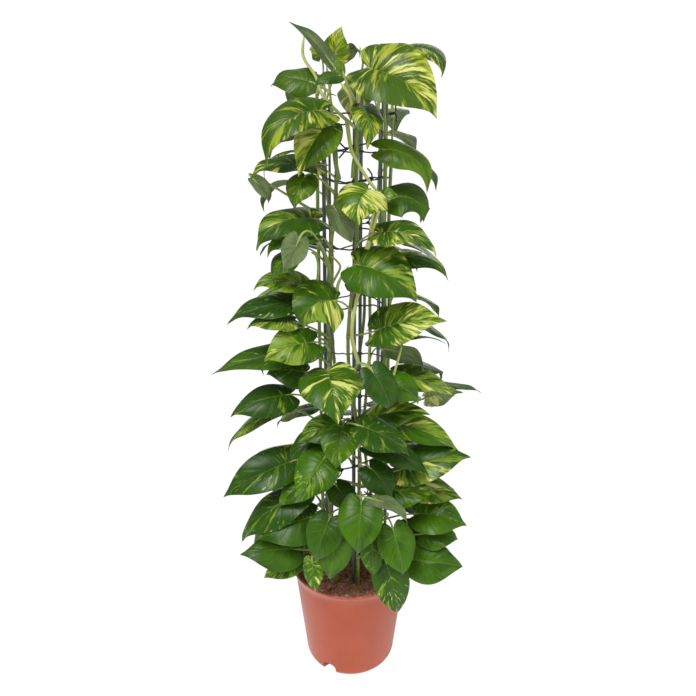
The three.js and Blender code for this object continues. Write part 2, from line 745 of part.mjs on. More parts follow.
function isHidden(candidate, cells) {
  let hidden = 0;
  for (const { point } of candidate.samples) {
    const [column, row] = cellOf(point);
    const inCore = Math.abs(column * CELL - RACK_X) < CORE_HALF_WIDTH && row * CELL < CORE_TOP;
    if (inCore || cells.has(`${column},${row}`)) {
      hidden += 1;
    }
  }
  return hidden >= HIDDEN_SHARE * candidate.samples.length;
}

function drawBackLeaf(random, level, share) {
  const turn = BACK_TURN_START + (BACK_TURN_END - BACK_TURN_START) * share;
  const climb = (level + random(-0.45, 0.45)) / (BACK_LEVELS - 1);
  const height = BACK_LOWEST + (BACK_HIGHEST - BACK_LOWEST) * climb;
  const length = random(78, 100) - 18 * climb;
  const base = onRack(turn, random(66, 90), height);
  const tipTurn = turn + random(-26, 26);
  const tip = base.clone().add(direction(tipTurn, random(-48, -14)).multiplyScalar(length));
  return {
    base,
    tip,
    width: length * random(0.66, 0.78),
    turn: tipTurn,
    rise: random(38, 58),
    arch: random(6, 14),
    hook: random(-4, 5),
    fold: random(0.1, 0.4),
  };
}

function placeBackLeaves(placed) {
  const random = makeRandom(BACK_SEED);
  const cells = cellsHiddenBy(placed);
  for (let level = 0; level < BACK_LEVELS; level++) {
    const fewer = (BACK_LOW_COUNT - BACK_HIGH_COUNT) * level / (BACK_LEVELS - 1);
    const count = Math.round(BACK_LOW_COUNT - fewer);
    for (let k = 0; k < count; k++) {
      for (let attempt = 0; attempt < BACK_TRIES; attempt++) {
        const candidate = candidateFrom(drawBackLeaf(random, level, (k + random(0, 1)) / count));
        if (isHidden(candidate, cells) && isClear(candidate, placed)) {
          placed.push(candidate);
          break;
        }
      }
    }
  }
}

// One blade and its stalk as a closed sheet, with the same triangles on both
// faces. The stalk's rings carry on from the four corners of the blade's notch.
function leafGeometry(frame, petiole) {
  const edge = OUTLINE.slice(1, -1);
  const corner = 2 * PETIOLE_RADIUS / frame.width;
  const grid = [bladePoint(frame, 0, -corner), bladePoint(frame, 0, corner)];
  for (const u of [...MIDRIB, 1]) {
    grid.push(bladePoint(frame, u, 0));
  }
  for (const [u, v] of edge) {
    grid.push(bladePoint(frame, u, v));
  }
  for (const [u, v] of edge) {
    grid.push(bladePoint(frame, u, -v));
  }
  const count = grid.length;
  const positions = [];
  for (const side of [0.5, -0.5]) {
    for (const { point, normal } of grid) {
      positions.push(point.clone().addScaledVector(normal, side * BLADE_THICKNESS));
    }
  }

  const [left, right, low, high, tip] = [0, 1, 2, 3, 4];
  const rightEdge = [5, 6, 7, 8];
  const leftEdge = [9, 10, 11, 12];
  const upper = [[left, low, right]];
  for (const [notch, edges, mirrored] of [[right, rightEdge, true], [left, leftEdge, false]]) {
    const [e1, e2, e3, e4] = edges;
    const faces = [
      [notch, e1, e2],
      [notch, e2, low],
      [low, e2, e3],
      [low, e3, high],
      [high, e3, e4],
      [high, e4, tip],
    ];
    for (const [a, b, c] of faces) {
      upper.push(mirrored ? [a, c, b] : [a, b, c]);
    }
  }
  const index = [];
  for (const [a, b, c] of upper) {
    index.push(a, b, c);
    index.push(a + count, c + count, b + count);
  }
  const rim = [right, ...rightEdge, tip, ...leftEdge.toReversed(), left];
  for (let i = 0; i < rim.length - 1; i++) {
    const [a, b] = [rim[i], rim[i + 1]];
    index.push(a, b, b + count);
    index.push(a, b + count, a + count);
  }

  let ring = [left, right, right + count, left + count];
  const side = positions[right].clone().sub(positions[left]).normalize();
  const steps = petiole.getLength() > LONG_PETIOLE ? 3 : 2;
  for (let k = steps - 1; k >= 0; k--) {
    const middle = petiole.getPoint(k / steps);
    const tangent = petiole.getTangent(k / steps);
    side.addScaledVector(tangent, -side.dot(tangent)).normalize();
    const normal = new THREE.Vector3().crossVectors(tangent, side);
    const next = [];
    for (const [s, n] of [[-1, 1], [1, 1], [1, -1], [-1, -1]]) {
      next.push(positions.length);
      positions.push(middle.clone()
        .addScaledVector(side, s * PETIOLE_RADIUS)
        .addScaledVector(normal, n * PETIOLE_RADIUS));
    }
    for (let i = 0; i < 4; i++) {
      const j = (i + 1) % 4;
      index.push(ring[i], ring[j], next[j]);
      index.push(ring[i], next[j], next[i]);
    }
    ring = next;
  }
  index.push(ring[0], ring[1], ring[2]);
  index.push(ring[0], ring[2], ring[3]);

  const numbers = positions.flatMap((position) => position.toArray());
  const geometry = new THREE.BufferGeometry();
  geometry.setAttribute('position', new THREE.Float32BufferAttribute(numbers, 3));
  geometry.setIndex(index);
  return geometry;
}

function stemCurve(vine) {
  const points = [];
  for (let height = STEM_FOOT; height < vine.top - STEM_STEP / 2; height += STEM_STEP) {
    points.push(vinePoint(vine, height));
  }
  points.push(vinePoint(vine, vine.top));
  return { curve: new THREE.CatmullRomCurve3(points), steps: points.length - 1 };
}

function makeVine(vine, index, leaves) {
  const { curve, steps } = stemCurve(vine);
  let solid = solidFrom(tubeAlong(curve, STEM_RADIUS, STEM_SIDES, steps));
  for (const { leaf, curve: petiole } of leaves) {
    solid = solid.add(solidFrom(leafGeometry(frameOf(leaf), petiole)));
  }
  return namedMesh(`vine_${index + 1}`, geometryFrom(solid), foliage);
}

// The whole plant

const placed = [];
placeFrontLeaves(placed);
placeBackLeaves(placed);

const plant = new THREE.Group();
plant.add(makePot());
plant.add(makeSoil());
RODS.forEach((rod, index) => plant.add(makeRod(rod, index)));
WIRES.forEach((wire, index) => plant.add(makeWire(wire, index)));
VINES.forEach((vine, index) => {
  const leaves = placed.filter((item) => item.vine === vine);
  plant.add(makeVine(vine, index, leaves));
});

export default plant;
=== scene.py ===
"""A potted pothos on a rack of upright rods: the finished pieces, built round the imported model.

Lengths in the code are millimetres, and become metres where a mesh is made.
"""

import math
from itertools import combinations
from types import SimpleNamespace

import bpy
import numpy as np
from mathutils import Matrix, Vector, noise


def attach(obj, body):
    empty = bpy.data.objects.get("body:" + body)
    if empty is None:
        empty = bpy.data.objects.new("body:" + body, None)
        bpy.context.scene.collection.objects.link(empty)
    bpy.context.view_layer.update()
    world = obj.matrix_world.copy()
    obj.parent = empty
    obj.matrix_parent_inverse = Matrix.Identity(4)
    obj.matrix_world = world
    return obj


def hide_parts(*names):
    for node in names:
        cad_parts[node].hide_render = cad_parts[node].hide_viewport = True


bl_info = {
    "name": "Potted Pothos",
    "version": (1, 0, 0),
    "blender": (4, 5, 0),
    "location": "View3D > Sidebar > Pothos",
    "description": "Builds a climbing pothos with variegated leaves in a grower's pot",
    "category": "Object",
}

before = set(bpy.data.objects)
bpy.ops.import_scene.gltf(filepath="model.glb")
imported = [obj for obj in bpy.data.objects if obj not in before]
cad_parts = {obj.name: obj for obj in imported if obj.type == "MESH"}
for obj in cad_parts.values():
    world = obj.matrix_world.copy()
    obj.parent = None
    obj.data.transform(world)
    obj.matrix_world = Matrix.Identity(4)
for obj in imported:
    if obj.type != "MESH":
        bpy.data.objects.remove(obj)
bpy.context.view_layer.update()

MM = 0.001

# Pot
POT_HEIGHT = 168
RIM_RADIUS = 95
WALL_TOP_RADIUS = 89
WALL_TOP = 150
LIP_HALFWAY = 158
WALL_FOOT_RADIUS = 73
FOOT_CORNER = 14
WALL = 2.4
INNER_CORNER = 6
PAD_RADIUS = 30
CHANNEL_OUTER_RADIUS = 56
CHANNEL_HEIGHT = 20
CHANNEL_TAPER = 2
FOOT_NOTCHES = 3
FOOT_NOTCH_TURN = -28
FOOT_NOTCH_WIDTH = 24
FOOT_NOTCH_HEIGHT = 21
DRAIN_HOLES = 6
DRAIN_HOLE_RADIUS = 5
DRAIN_RING_RADIUS = 43
FOOT_EDGE = 0.8
LIP_ROUND = 1.8
NOTCH_REACH = 40
NOTCH_CORNER = 9
DRAIN_CUT_DEPTH = 20
POT_STEPS = 160

# Soil, which keeps its clods lower close to the wall
SOIL_TOP = 154
SOIL_LUMP = 3
MOUND_X, MOUND_Y, MOUND_HEIGHT, MOUND_SPREAD = -15, -56, 8, 20
SOIL_STEPS = 180
SOIL_RINGS = 64
SOIL_GAP = 0.3
SOIL_SINK = 1.2
CALM_EDGE = 4
CALM_SHARE = 0.35

# Clods, coarse, middle and fine: how close together, their layer of the noise, and height.
# The coarse ones are flat on top, with hollows between them.
CLOD_NOISES = ((0.045, 5.2), (0.28, 8.4), (0.75, 1.7))
CLOD_HEIGHTS = (22, 3, 0.9)
COARSE_LEVEL = 0.1
COARSE_TOP = 0.12

# Crumbs and fibres on the soil
CRUMBS = 1500
CRUMB_SEED = 518
CRUMBS_FROM_WALL = 3
CRUMB_SINK = 1
FIBRE_RADIUS = 0.22
FIBRE_LIFT = 0.5

# Rack
RACK_X = 5
ROD_RING_RADIUS = 42
THICK_ROD_RADIUS = 2.7
THIN_ROD_RADIUS = 1.2
ROD_FOOT = 30
WIRE_RING_RADIUS = 46.5
WIRE_RADIUS = 1.05
WIRE_TURN_STEP = 8
WIRE_SEED = 900

# A wire's two ends: points of each part, where the twist starts, its step and its turn
END_POINTS = 9
TWIST_START = 2
TWIST_STEP = 0.9
TWIST_TURN = 0.9

# A wire's extra turn about a thick rod: how many rods get one, its points, turn and climb
WRAP_SHARE = 0.6
WRAP_POINTS = 18
WRAP_TURN = 0.42
WRAP_CLIMB = 0.13

# Rods: turn round the rack from the front, radius and top
RODS = (
    (-90, THICK_ROD_RADIUS, 868),
    (0, THICK_ROD_RADIUS, 885),
    (90, THICK_ROD_RADIUS, 872),
    (167, THICK_ROD_RADIUS, 880),
    (-50, THIN_ROD_RADIUS, 862),
    (55, THIN_ROD_RADIUS, 866),
    (125, THIN_ROD_RADIUS, 858),
    (-128, THIN_ROD_RADIUS, 864),
)

# Wires: height, how far each one sways up and down, and the turn of its two ends
WIRES = (
    (846, 4, 72),
    (804, 3, -12),
    (765, 4, 24),
    (700, 3, 157),
    (676, 6, 79),
    (592, 5, -22),
    (508, 5, 26),
    (430, 4, -163),
    (358, 5, -20),
    (312, 4, 26),
)

# Stems
STEM_RADIUS = 2.8
STEM_RING_RADIUS = 50.73
STEM_FOOT = 90
SWAY_FROM = 194
SWAY_SPAN = 110
BEND_SPAN = 46
BEND_TURN = 5

# Vines: turn round the rack at the soil, how far each one wanders, phase and top
VINES = (
    (-72, 9, 0.4, 872),
    (-32, 9, 2.6, 893),
    (8, 8, 1.2, 905),
    (46, 8, 4.4, 880),
    (92, 9, 3.1, 850),
    (138, 9, 5.6, 865),
    (184, 9, 0.9, 890),
    (232, 9, 2.2, 862),
)

# Leaf stalks
DROP_SHARE = 0.5
STALK_PULL = 0.4
LEAST_DROP = 8
MOST_DROP = 45
LOWEST_JOINT = 179
TOP_BUD = 6

# A stalk's radius with its swellings at the sheathed foot and the knee, and its end
# under the blade: shares of the blade's length, depths under it and radii
STALK_RADIUS = 1.2
SHEATH_SWELL = 0.9
KNEE_SWELL = 0.35
KNEE_SHARE = 0.93
END_SHARES = (0.05, 0.12, 0.2)
END_DEPTHS = (1.1, 1.0, 0.8)
END_RADII = (1.0, 0.75, 0.4)

# A stem's steps, its rings and its taper towards the top
STEM_STEP = 4
RING_SWELL = 0.55
RING_REACH = 3.2
STEM_TAPER = 60

# Blades: how far one dips towards its edge, past its fold, and its thickness
BLADE_DIP = 0.35
BLADE_THICKNESS = 0.5

# Shares of cream, lime and flecks on a blade, by the kind that its leaf's look names
LOOKS = {
    "gold": (0.2, 0.4, 0.4),
    "half": (0.4, 0.32, 0.35),
    "flame": (0.1, 0.52, 0.5),
    "band": (0.26, 0.14, 0.35),
    "streak": (0.1, 0.3, 0.5),
    "fleck": (0.03, 0.12, 0.7),
    "plain": (0.0, 0.02, 0.25),
}

# Other words of a look: the green of a blade, and a half or tip that has more of its marks
# The greens are partly the leaf's own tone and partly painted light: bright lightens leaves that lie
# in the shade of others (painted light), and dark darkens leaves deep inside (painted shade)
TONES_AND_PAINTED_LIGHT = {"dark": 0.15, "bright": 0.95}
STRONG_SIDE, WEAK_SIDE = 1.4, 0.4

# Stalks and sheaths that cross in front: radius, flatness, paleness, yellowness and
# the points that each one runs through
SHOOTS = (
    (2.6, 1, 0.75, 0.2, ((-5, -58, 832), (0, -62, 801), (5, -64, 789), (20, -68, 765), (35, -76, 746))),
    (2.3, 1, 1, 0.1, (
        (5, -60, 825), (-16, -56, 843), (-35, -54, 863), (-44, -46, 886), (-59, -38, 910),
        (-58, -30, 937))),
    (2.2, 1, 0.9, 0.8, ((20, -60, 675), (24, -68, 693), (29, -76, 726), (31, -80, 740))),
    (2.2, 1, 0.9, 0.7, ((23, -62, 675), (26, -70, 693), (34, -78, 721), (38, -80, 738))),
    (3.2, 1, 0.3, 0, (
        (-26, -54, 624), (-26, -56, 640), (-30, -58, 656), (-34, -58, 668), (-45, -56, 690))),
    (1.8, 1, 0.35, 0, (
        (-26, -56, 618), (-24, -60, 631), (-14, -62, 651), (-18, -60, 660), (-27, -58, 667))),
    (2.4, 1, 0.5, 0.1, ((-20, -62, 606), (-18, -68, 622), (-15, -70, 635), (-3, -74, 655))),
    (2.8, 1, 0.9, 0.45, (
        (11, -66, 521), (3, -68, 552), (2, -68, 575), (8, -68, 610), (11, -68, 623),
        (15, -62, 651))),
    (1.8, 1, 0.7, 0, ((23, -60, 488), (25, -62, 511), (25, -64, 532), (26, -66, 555))),
    (1.7, 1, 1, 0.4, ((14, -78, 524), (26, -82, 521), (39, -84, 512), (48, -84, 501), (52, -82, 487))),
    (1.9, 1, 1, 0.15, ((55, -84, 488), (58, -86, 511), (63, -86, 532), (69, -84, 556))),
    (1.9, 1, 0.6, 0, ((2, -70, 434), (18, -84, 450), (37, -86, 472), (52, -84, 488))),
    (1.8, 1, 0.5, 0, ((-44, -68, 630), (-42, -72, 655), (-45, -74, 669), (-51, -76, 673))),
    (1.6, 2, 1, 1, ((2, -60, 840), (8, -62, 854), (9, -62, 865), (8, -62, 874))),
    (2.6, 1, 0.6, 0.6, ((4, -58, 834), (2, -60, 849), (-1, -60, 861), (-13, -56, 877))),
    (3.0, 1, 0, 0, ((-15, -52, 763), (-19, -56, 782), (-21, -54, 799), (-21, -50, 816))),
    (3.0, 1, 0, 0, ((3, -54, 765), (4, -58, 784), (8, -56, 799), (5, -54, 815))),
)

# Leaves that show from the front: where the blade joins its stalk, its tip, its
# width, the turn and rise of its upper face, arch, hook, fold and look
FRONT_LEAVES = (
    ((-30, -95, 520), (-15, -150, 465), 84, 0, 45, 12, 0, 0.3, "band right"),
    ((21, -60, 892), (105, -85, 833), 88, 12, 14, 12, 5, 0.4, "gold upper streak"),
    ((22, -85, 750), (8, -105, 706), 66, -12, 26, 10, 4, 0.2, "half lower bright"),
    ((-30, -75, 825), (-65, -95, 765), 56, -10, 20, 8, 0, 0.2, "half left bright"),
    ((9, -75, 657), (88, -100, 613), 78, 12, 24, 12, 4, 0.3, "streak upper"),
    ((-20, -70, 728), (3, -90, 683), 30, 172, 5, 6, 0, 0.3, "plain"),
    ((-21, -85, 612), (-64, -110, 579), 78, -10, 30, 14, 8, 0.1, "gold lower"),
    ((36, -65, 568), (126, -85, 586), 60, 15, 40, 12, 0, 0.3, "gold tip"),
    ((15, -110, 335), (10, -140, 270), 62, 0, 35, 8, 0, 0.3, "plain bright"),
    ((60, -105, 290), (75, -125, 227), 54, 5, 30, 8, 0, 0.15, "plain bright"),
    ((-35, -105, 400), (-70, -130, 345), 62, -8, 35, 10, 0, 0.2, "fleck tip bright"),
    ((-51, -80, 555), (-116, -100, 535), 60, -15, 38, 10, 0, 0.2, "flame tip"),
    ((-10, -100, 445), (-20, -125, 390), 52, -8, 30, 8, 0, 0.35, "fleck bright"),
    ((80, -10, 926), (121, -25, 890), 54, 38, 20, 10, 4, 0.2, "streak lower dark"),
    ((-22, -45, 899), (-75, -40, 948), 22, 150, 40, 6, 0, 0.3, "plain"),
    ((-21, -15, 908), (-12, -20, 949), 38, -30, 10, 4, 0, 0.2, "flame bright"),
    ((-38, -32, 912), (-54, -38, 922), 24, -20, 35, 4, 0, 0.2, "gold"),
    ((-10, -5, 915), (15, -15, 915), 30, 180, 75, 12, 0, 0.2, "plain"),
    ((-10, -50, 890), (-20, -50, 905), 12, 0, 20, 2, 0, 0.2, "plain bright"),
    ((-50, -35, 881), (-104, -22, 880), 46, -14, 34, 6, 2, 0.1, "plain"),
    ((-14, -50, 892), (-45, -60, 879), 22, -10, 35, 4, 0, 0.2, "plain"),
    ((-37, -55, 845), (-105, -80, 779), 62, -20, 30, 20, 8, 0.3, "streak lower"),
    ((18, -60, 848), (21, -90, 797), 40, 12, 30, 8, 0, 0.3, "streak tip"),
    ((42, -45, 800), (101, -60, 749), 42, 25, 34, 10, 12, 0.2, "plain bright"),
    ((55, -45, 740), (95, -55, 710), 60, 35, 25, 10, 10, 0.1, "plain"),
    ((-45, -45, 780), (-130, -60, 765), 56, -50, 62, 10, 4, 0.2, "streak dark"),
    ((-57, -70, 766), (-72, -85, 726), 42, -15, 20, 6, 0, 0.2, "fleck tip bright"),
    ((-48, -55, 714), (-122, -85, 677), 64, -28, 38, 14, 6, 0.2, "streak upper"),
    ((-50, -70, 695), (-110, -85, 670), 46, -30, 50, 8, 0, 0.3, "streak"),
    ((-70, -75, 675), (-105, -85, 635), 40, -35, 30, 6, 0, 0.2, "fleck"),
    ((-65, -85, 690), (-85, -90, 650), 34, 165, 10, 4, 0, 0.2, "plain"),
    ((-60, -65, 630), (-130, -85, 630), 48, -30, 50, 8, 0, 0.3, "flame"),
    ((-71, -55, 605), (-167, -80, 583), 54, -30, 45, 8, 0, 0.3, "fleck dark"),
    ((38, -55, 697), (111, -75, 671), 56, 25, 46, 10, 4, 0.4, "gold"),
    ((48, -35, 659), (134, -45, 636), 36, 50, 50, 14, 4, 0.1, "streak upper dark"),
    ((50, -45, 555), (130, -55, 550), 36, 20, 85, 4, 0, 0.2, "plain"),
    ((56, -60, 546), (104, -60, 519), 54, 168, 45, 6, 0, 0.3, "plain"),
    ((-75, -55, 535), (-190, -75, 510), 56, -35, 50, 6, 0, 0.3, "fleck"),
    ((-63, -60, 507), (-118, -70, 509), 50, -20, 45, 6, 0, 0.1, "fleck dark"),
    ((-87, -60, 474), (-170, -80, 450), 56, -28, 42, 10, 0, 0.1, "fleck dark"),
    ((-105, -50, 445), (-180, -60, 390), 36, -60, 60, 10, 0, 0.2, "streak"),
    ((-84, -55, 370), (-187, -75, 322), 62, -24, 34, 12, 0, 0.4, "fleck dark"),
    ((-15, -100, 450), (-75, -115, 425), 50, -10, 50, 6, 0, 0.2, "streak"),
    ((25, -75, 445), (110, -90, 460), 52, 20, 58, 8, 0, 0.3, "gold upper"),
    ((50, -75, 440), (155, -85, 400), 54, 25, 54, 10, 0, 0.4, "gold upper bright"),
    ((72, -85, 373), (169, -90, 397), 60, 30, 50, 10, 0, 0.2, "gold lower fleck"),
    ((15, -80, 435), (80, -90, 400), 54, 18, 40, 6, 0, 0.2, "fleck dark"),
    ((30, -90, 410), (110, -100, 370), 46, 25, 50, 10, 0, 0.3, "plain dark"),
    ((53, -75, 358), (152, -85, 348), 42, 18, 60, 8, 0, 0.4, "gold lower bright"),
    ((50, -90, 340), (120, -100, 345), 50, 18, 45, 6, 0, 0.2, "streak bright"),
    ((90, -60, 330), (165, -65, 315), 42, 30, 50, 6, 0, 0.2, "gold bright"),
    ((100, -65, 290), (170, -80, 280), 62, 30, 45, 10, 0, 0.3, "fleck upper bright"),
    ((65, -65, 505), (145, -80, 480), 52, 25, 50, 8, 0, 0.3, "gold tip"),
    ((45, -80, 500), (95, -90, 475), 50, 20, 45, 8, 0, 0.2, "plain bright"),
    ((110, -45, 465), (160, -50, 475), 44, 172, 30, 4, 0, 0.2, "half"),
    ((120, -40, 485), (190, -45, 475), 28, 20, 88, 2, 0, 0.2, "plain"),
    ((35, -110, 340), (80, -120, 310), 30, 178, 30, 8, 0, 0.2, "plain bright"),
    ((51, -100, 234), (72, -110, 148), 54, 12, 12, 6, 0, 0.3, "fleck tip"),
    ((90, -75, 220), (170, -85, 215), 64, 25, 32, 10, 0, 0.1, "plain bright"),
    ((80, -70, 265), (150, -80, 230), 50, 30, 40, 8, 0, 0.2, "plain dark"),
    ((-30, -105, 305), (-50, -120, 245), 52, -10, 25, 6, 0, 0.3, "plain"),
    ((-20, -110, 275), (-30, -120, 215), 50, -6, 25, 4, 0, 0.1, "plain bright"),
    ((-80, -80, 240), (-160, -100, 245), 60, -22, 42, 8, 0, 0.2, "plain"),
    ((-75, -90, 230), (-130, -100, 205), 38, -25, 40, 4, 0, 0.3, "streak tip"),
    ((-55, -90, 300), (-135, -110, 275), 66, -20, 42, 8, 0, 0.1, "fleck upper"),
    ((-75, -60, 320), (-165, -75, 250), 60, -40, 45, 12, 0, 0.2, "fleck dark"),
    ((-55, -100, 235), (-50, -105, 185), 30, -10, 20, 3, 0, 0.2, "streak bright"),
    ((30, -90, 260), (35, -100, 205), 34, 5, 20, 3, 0, 0.2, "fleck"),
    ((-65, -80, 260), (-85, -90, 230), 32, -20, 30, 3, 0, 0.2, "streak"),
    ((5, -50, 610), (-10, -55, 615), 26, 180, 60, 6, 0, 0.2, "plain"),
    ((35, -70, 740), (60, -75, 745), 26, 10, 40, 3, 0, 0.2, "streak bright"),
    ((-65, -65, 565), (-95, -75, 560), 46, -15, 35, 6, 0, 0.2, "flame"),
    ((30, -70, 505), (55, -80, 452), 44, 10, 40, 8, 0, 0.3, "plain dark"),
    ((28, -75, 363), (60, -85, 322), 46, 20, 45, 8, 0, 0.2, "plain dark"),
    ((-20, -80, 344), (2, -95, 308), 38, 10, 40, 6, 0, 0.2, "plain dark"),
    ((-82, -55, 578), (-140, -70, 574), 44, -30, 55, 6, 0, 0.2, "gold lower"),
    ((-123, -55, 763), (-103, -60, 733), 22, 160, 20, 6, 0, 0.4, "plain"),
    ((-40, -80, 420), (-88, -95, 388), 44, -20, 40, 8, 0, 0.3, "plain dark"),
    ((-60, -70, 345), (-105, -90, 315), 46, -25, 40, 8, 0, 0.2, "fleck"),
    ((110, -55, 250), (165, -60, 245), 46, 40, 40, 8, 0, 0.2, "plain bright"),
    ((-105, -50, 285), (-150, -60, 215), 46, -40, 40, 8, 0, 0.2, "plain dark"),
)

# Leaves round the back, which follow a rule
BACK_SEED = 20261
BACK_TURN_START = 70
BACK_TURN_END = 290
BACK_LOWEST = 225
BACK_HIGHEST = 905
BACK_LEVELS = 13
BACK_LOW_COUNT = 5
BACK_HIGH_COUNT = 3
BACK_TRIES = 14
BACK_LEVEL_SPREAD = 0.45
BACK_REACHES = (66, 90)
BACK_LENGTHS = (78, 100)
BACK_SHORTENING = 18
BACK_WIDTHS = (0.66, 0.78)
BACK_TIP_SWING = 26
BACK_TIP_RISES = (-48, -14)
BACK_RISES = (38, 58)
BACK_ARCHES = (6, 14)
BACK_HOOKS = (-4, 5)
BACK_FOLDS = (0.1, 0.4)
# Looks of the back leaves in turn; the dark ones are partly painted shade on leaves deep inside
BACK_LOOKS = (
    "gold tip", "streak dark", "fleck", "plain dark", "flame", "half upper", "plain", "fleck dark")

# A leaf that would touch another one slides by one of these, then turns a little
SLIDES = (0, -6, 6, -12, 12, -18, 18, -26, 26, -34, 34, -44, 44, -56)
TURNS = (0, 14, -14, 28, -28)
LIFTS = (0, 6, -6, 12, -12)
VIEWER = np.array([0.0, -800.0, 740.0])
NEAR_REACH = 11
BLADE_CLEARANCE = 1.8
STALK_CLEARANCE = 6
RACK_CLEARANCE = 56
RACK_TOP = 890
POT_CLEARANCE = 101
POT_TOP_CLEARANCE = 6
NEIGHBOUR_MARGIN = 20
CENTRE_SHARE = 0.4
REACH_SHARE = 0.65

# A back leaf keeps behind the front ones, so that the gaps between them stay open
CELL = 8
HIDDEN_SHARE = 0.8
CORE_HALF_WIDTH = 62
CORE_TOP = 420
CELL_ROW_STEP = 0.06
CELL_COLUMN_STEP = 0.1

# Half of a blade's outline from the notch to the tip, as shares of its length and
# half width: the plain one that the clearances are tested on, and the fine one
OUTLINE = ((0, 0), (-0.15, 0.45), (0.06, 0.93), (0.42, 0.94), (0.78, 0.42), (1, 0))
FINE_OUTLINE = (
    (0, 0), (-0.09, 0.16), (-0.15, 0.42), (-0.08, 0.72), (0.08, 0.93), (0.25, 1.0),
    (0.44, 0.93), (0.62, 0.69), (0.77, 0.38), (0.88, 0.16), (0.95, 0.06), (1, 0),
)
SAMPLE_ROWS = (0, 0.16, 0.32, 0.48, 0.64, 0.8, 1)
SAMPLE_SHARES = (-1, -0.5, 0, 0.5, 1)
STALK_SHARES = (0.15, 0.3, 0.45, 0.6, 0.75, 0.9)

# The fine blade: rows along the side veins, and columns out from the midrib
BLADE_ROWS = 44
COLUMN_SHARES = (0, 0.03, 0.1, 0.21, 0.35, 0.5, 0.66, 0.83, 1)
VEIN_LEAD = 2.7
VEIN_CURVE = 0.8
SIDE_VEINS = 9
QUILTING = 0.22
RIB_HEIGHT = 1.1
GROOVE = 0.35
EDGE_THINNESS = 0.6
WAVE_SHARE = 0.034
TWIST = 12
CUP_SHARE = 0.12
TIP_DROOP = 7
DROOP_FROM = 0.7
OLIVE_FROM = 680
OLIVE_SPAN = 200
FINISH_SEED = 7741
BLADE_SLOT, STALK_SLOT, ROOT_SLOT = 0, 1, 2

# Camera: fitted to the outline of the pot
CAMERA_PLACE = (0, -807, 742)
CAMERA_PITCH = 75
CAMERA_TURN = 0.27
CAMERA_LENS = 29.22

# Soft lights: share of the key light, size, turn round the plant and height, in degrees
LIGHTS = {
    "soft_key": (1, 28, -30, 55),
    "soft_fill": (0.25, 60, 50, 30),
    "soft_back": (0.3, 60, 160, 20),
}

# The stage: size of its floor in metres, the floor's own glow, and the white that is seen
FLOOR_SIZE = 60
FLOOR_GLOW = 0.35
WHITE = 1.02


# Directions and seeded draws

def direction(turn, rise=0.0):
    turn, rise = math.radians(turn), math.radians(rise)
    flat = math.cos(rise)
    return np.array([math.sin(turn) * flat, -math.cos(turn) * flat, math.sin(rise)])


def on_rack(turn, radius, height):
    return direction(turn) * radius + np.array([RACK_X, 0, height])


def unit(vector):
    return vector / np.linalg.norm(vector)


def make_random(seed):
    state = [seed]

    def draw(low, high):
        state[0] = (state[0] * 1664525 + 1013904223) % 4294967296
        return low + (high - low) * state[0] / 4294967296

    return draw


# Meshes

def add_object(name, data):
    """Puts a mesh, light or camera in the scene as an object."""
    added = bpy.data.objects.new(name, data)
    bpy.context.scene.collection.objects.link(added)
    return added


class Parts:
    """Points and faces of several parts, which become one mesh."""

    def __init__(self, attributes=()):
        self.count = 0
        self.points = []
        self.faces = []
        self.slots = []
        self.values = {name: [] for name in attributes}

    def add(self, points, faces, slot=0, **values):
        """Adds one part. Each attribute is one value for the part or one a point."""
        points = np.asarray(points, float).reshape(-1, 3)
        self.points.append(points)
        self.faces.extend([tuple(int(i) + self.count for i in face) for face in faces])
        self.slots.extend([slot] * len(faces))
        for name, kept in self.values.items():
            value = np.asarray(values.get(name, (0, 0, 0)), float)
            kept.append(np.broadcast_to(value, (len(points), 3)))
        self.count += len(points)

    def piece(self, name, materials):
        """Makes the object, in metres."""
        mesh = bpy.data.meshes.new(name)
        points = np.concatenate(self.points) * MM
        mesh.from_pydata(points.tolist(), [], self.faces)
        for kept_name, kept in self.values.items():
            attribute = mesh.attributes.new(kept_name, "FLOAT_VECTOR", "POINT")
            attribute.data.foreach_set("vector", np.concatenate(kept).astype(np.float32).ravel())
        for material in materials:
            mesh.materials.append(material)
        mesh.polygons.foreach_set("material_index", self.slots)
        mesh.update()
        return add_object(name, mesh)


def select_only(piece):
    bpy.ops.object.select_all(action="DESELECT")
    piece.select_set(True)
    bpy.context.view_layer.objects.active = piece


def smooth_by_angle(piece, degrees):
    select_only(piece)
    bpy.ops.object.shade_smooth_by_angle(angle=math.radians(degrees))


def round_edges(piece, width, segments):
    bevel = piece.modifiers.new("rounded edges", "BEVEL")
    bevel.width = width * MM
    bevel.segments = segments
    bpy.ops.object.modifier_apply(modifier=bevel.name)


def tube(path, radii, sides, side=None, wide=None):
    """Points and faces of a closed tube along a path. side is across the path at its
    start, and wide stretches each ring that way."""
    path = np.asarray(path, float)
    count = len(path)
    radii = np.broadcast_to(np.asarray(radii, float), (count,))
    wide = np.broadcast_to(np.asarray(1.0 if wide is None else wide, float), (count,))
    tangents = np.gradient(path, axis=0)
    tangents /= np.linalg.norm(tangents, axis=1)[:, None]
    across = np.array([1.0, 0, 0]) if side is None else np.asarray(side, float)
    if abs(across @ tangents[0]) > 0.95 * np.linalg.norm(across):
        across = np.array([0, 1.0, 0])
    angles = np.arange(sides) * 2 * math.pi / sides
    rings = []
    for k in range(count):
        across = unit(across - tangents[k] * (across @ tangents[k]))
        other = np.cross(tangents[k], across)
        ring = np.outer(np.cos(angles) * wide[k], across) + np.outer(np.sin(angles), other)
        rings.append(path[k] + ring * radii[k])
    points = np.concatenate(rings + [path[:1], path[-1:]])
    faces = []
    for k in range(count - 1):
        for i in range(sides):
            j = (i + 1) % sides
            faces.append((k * sides + i, k * sides + j, (k + 1) * sides + j, (k + 1) * sides + i))
    first, last = count * sides, count * sides + 1
    for i in range(sides):
        j = (i + 1) % sides
        faces.append((first, j, i))
        faces.append((last, (count - 1) * sides + i, (count - 1) * sides + j))
    return points, faces


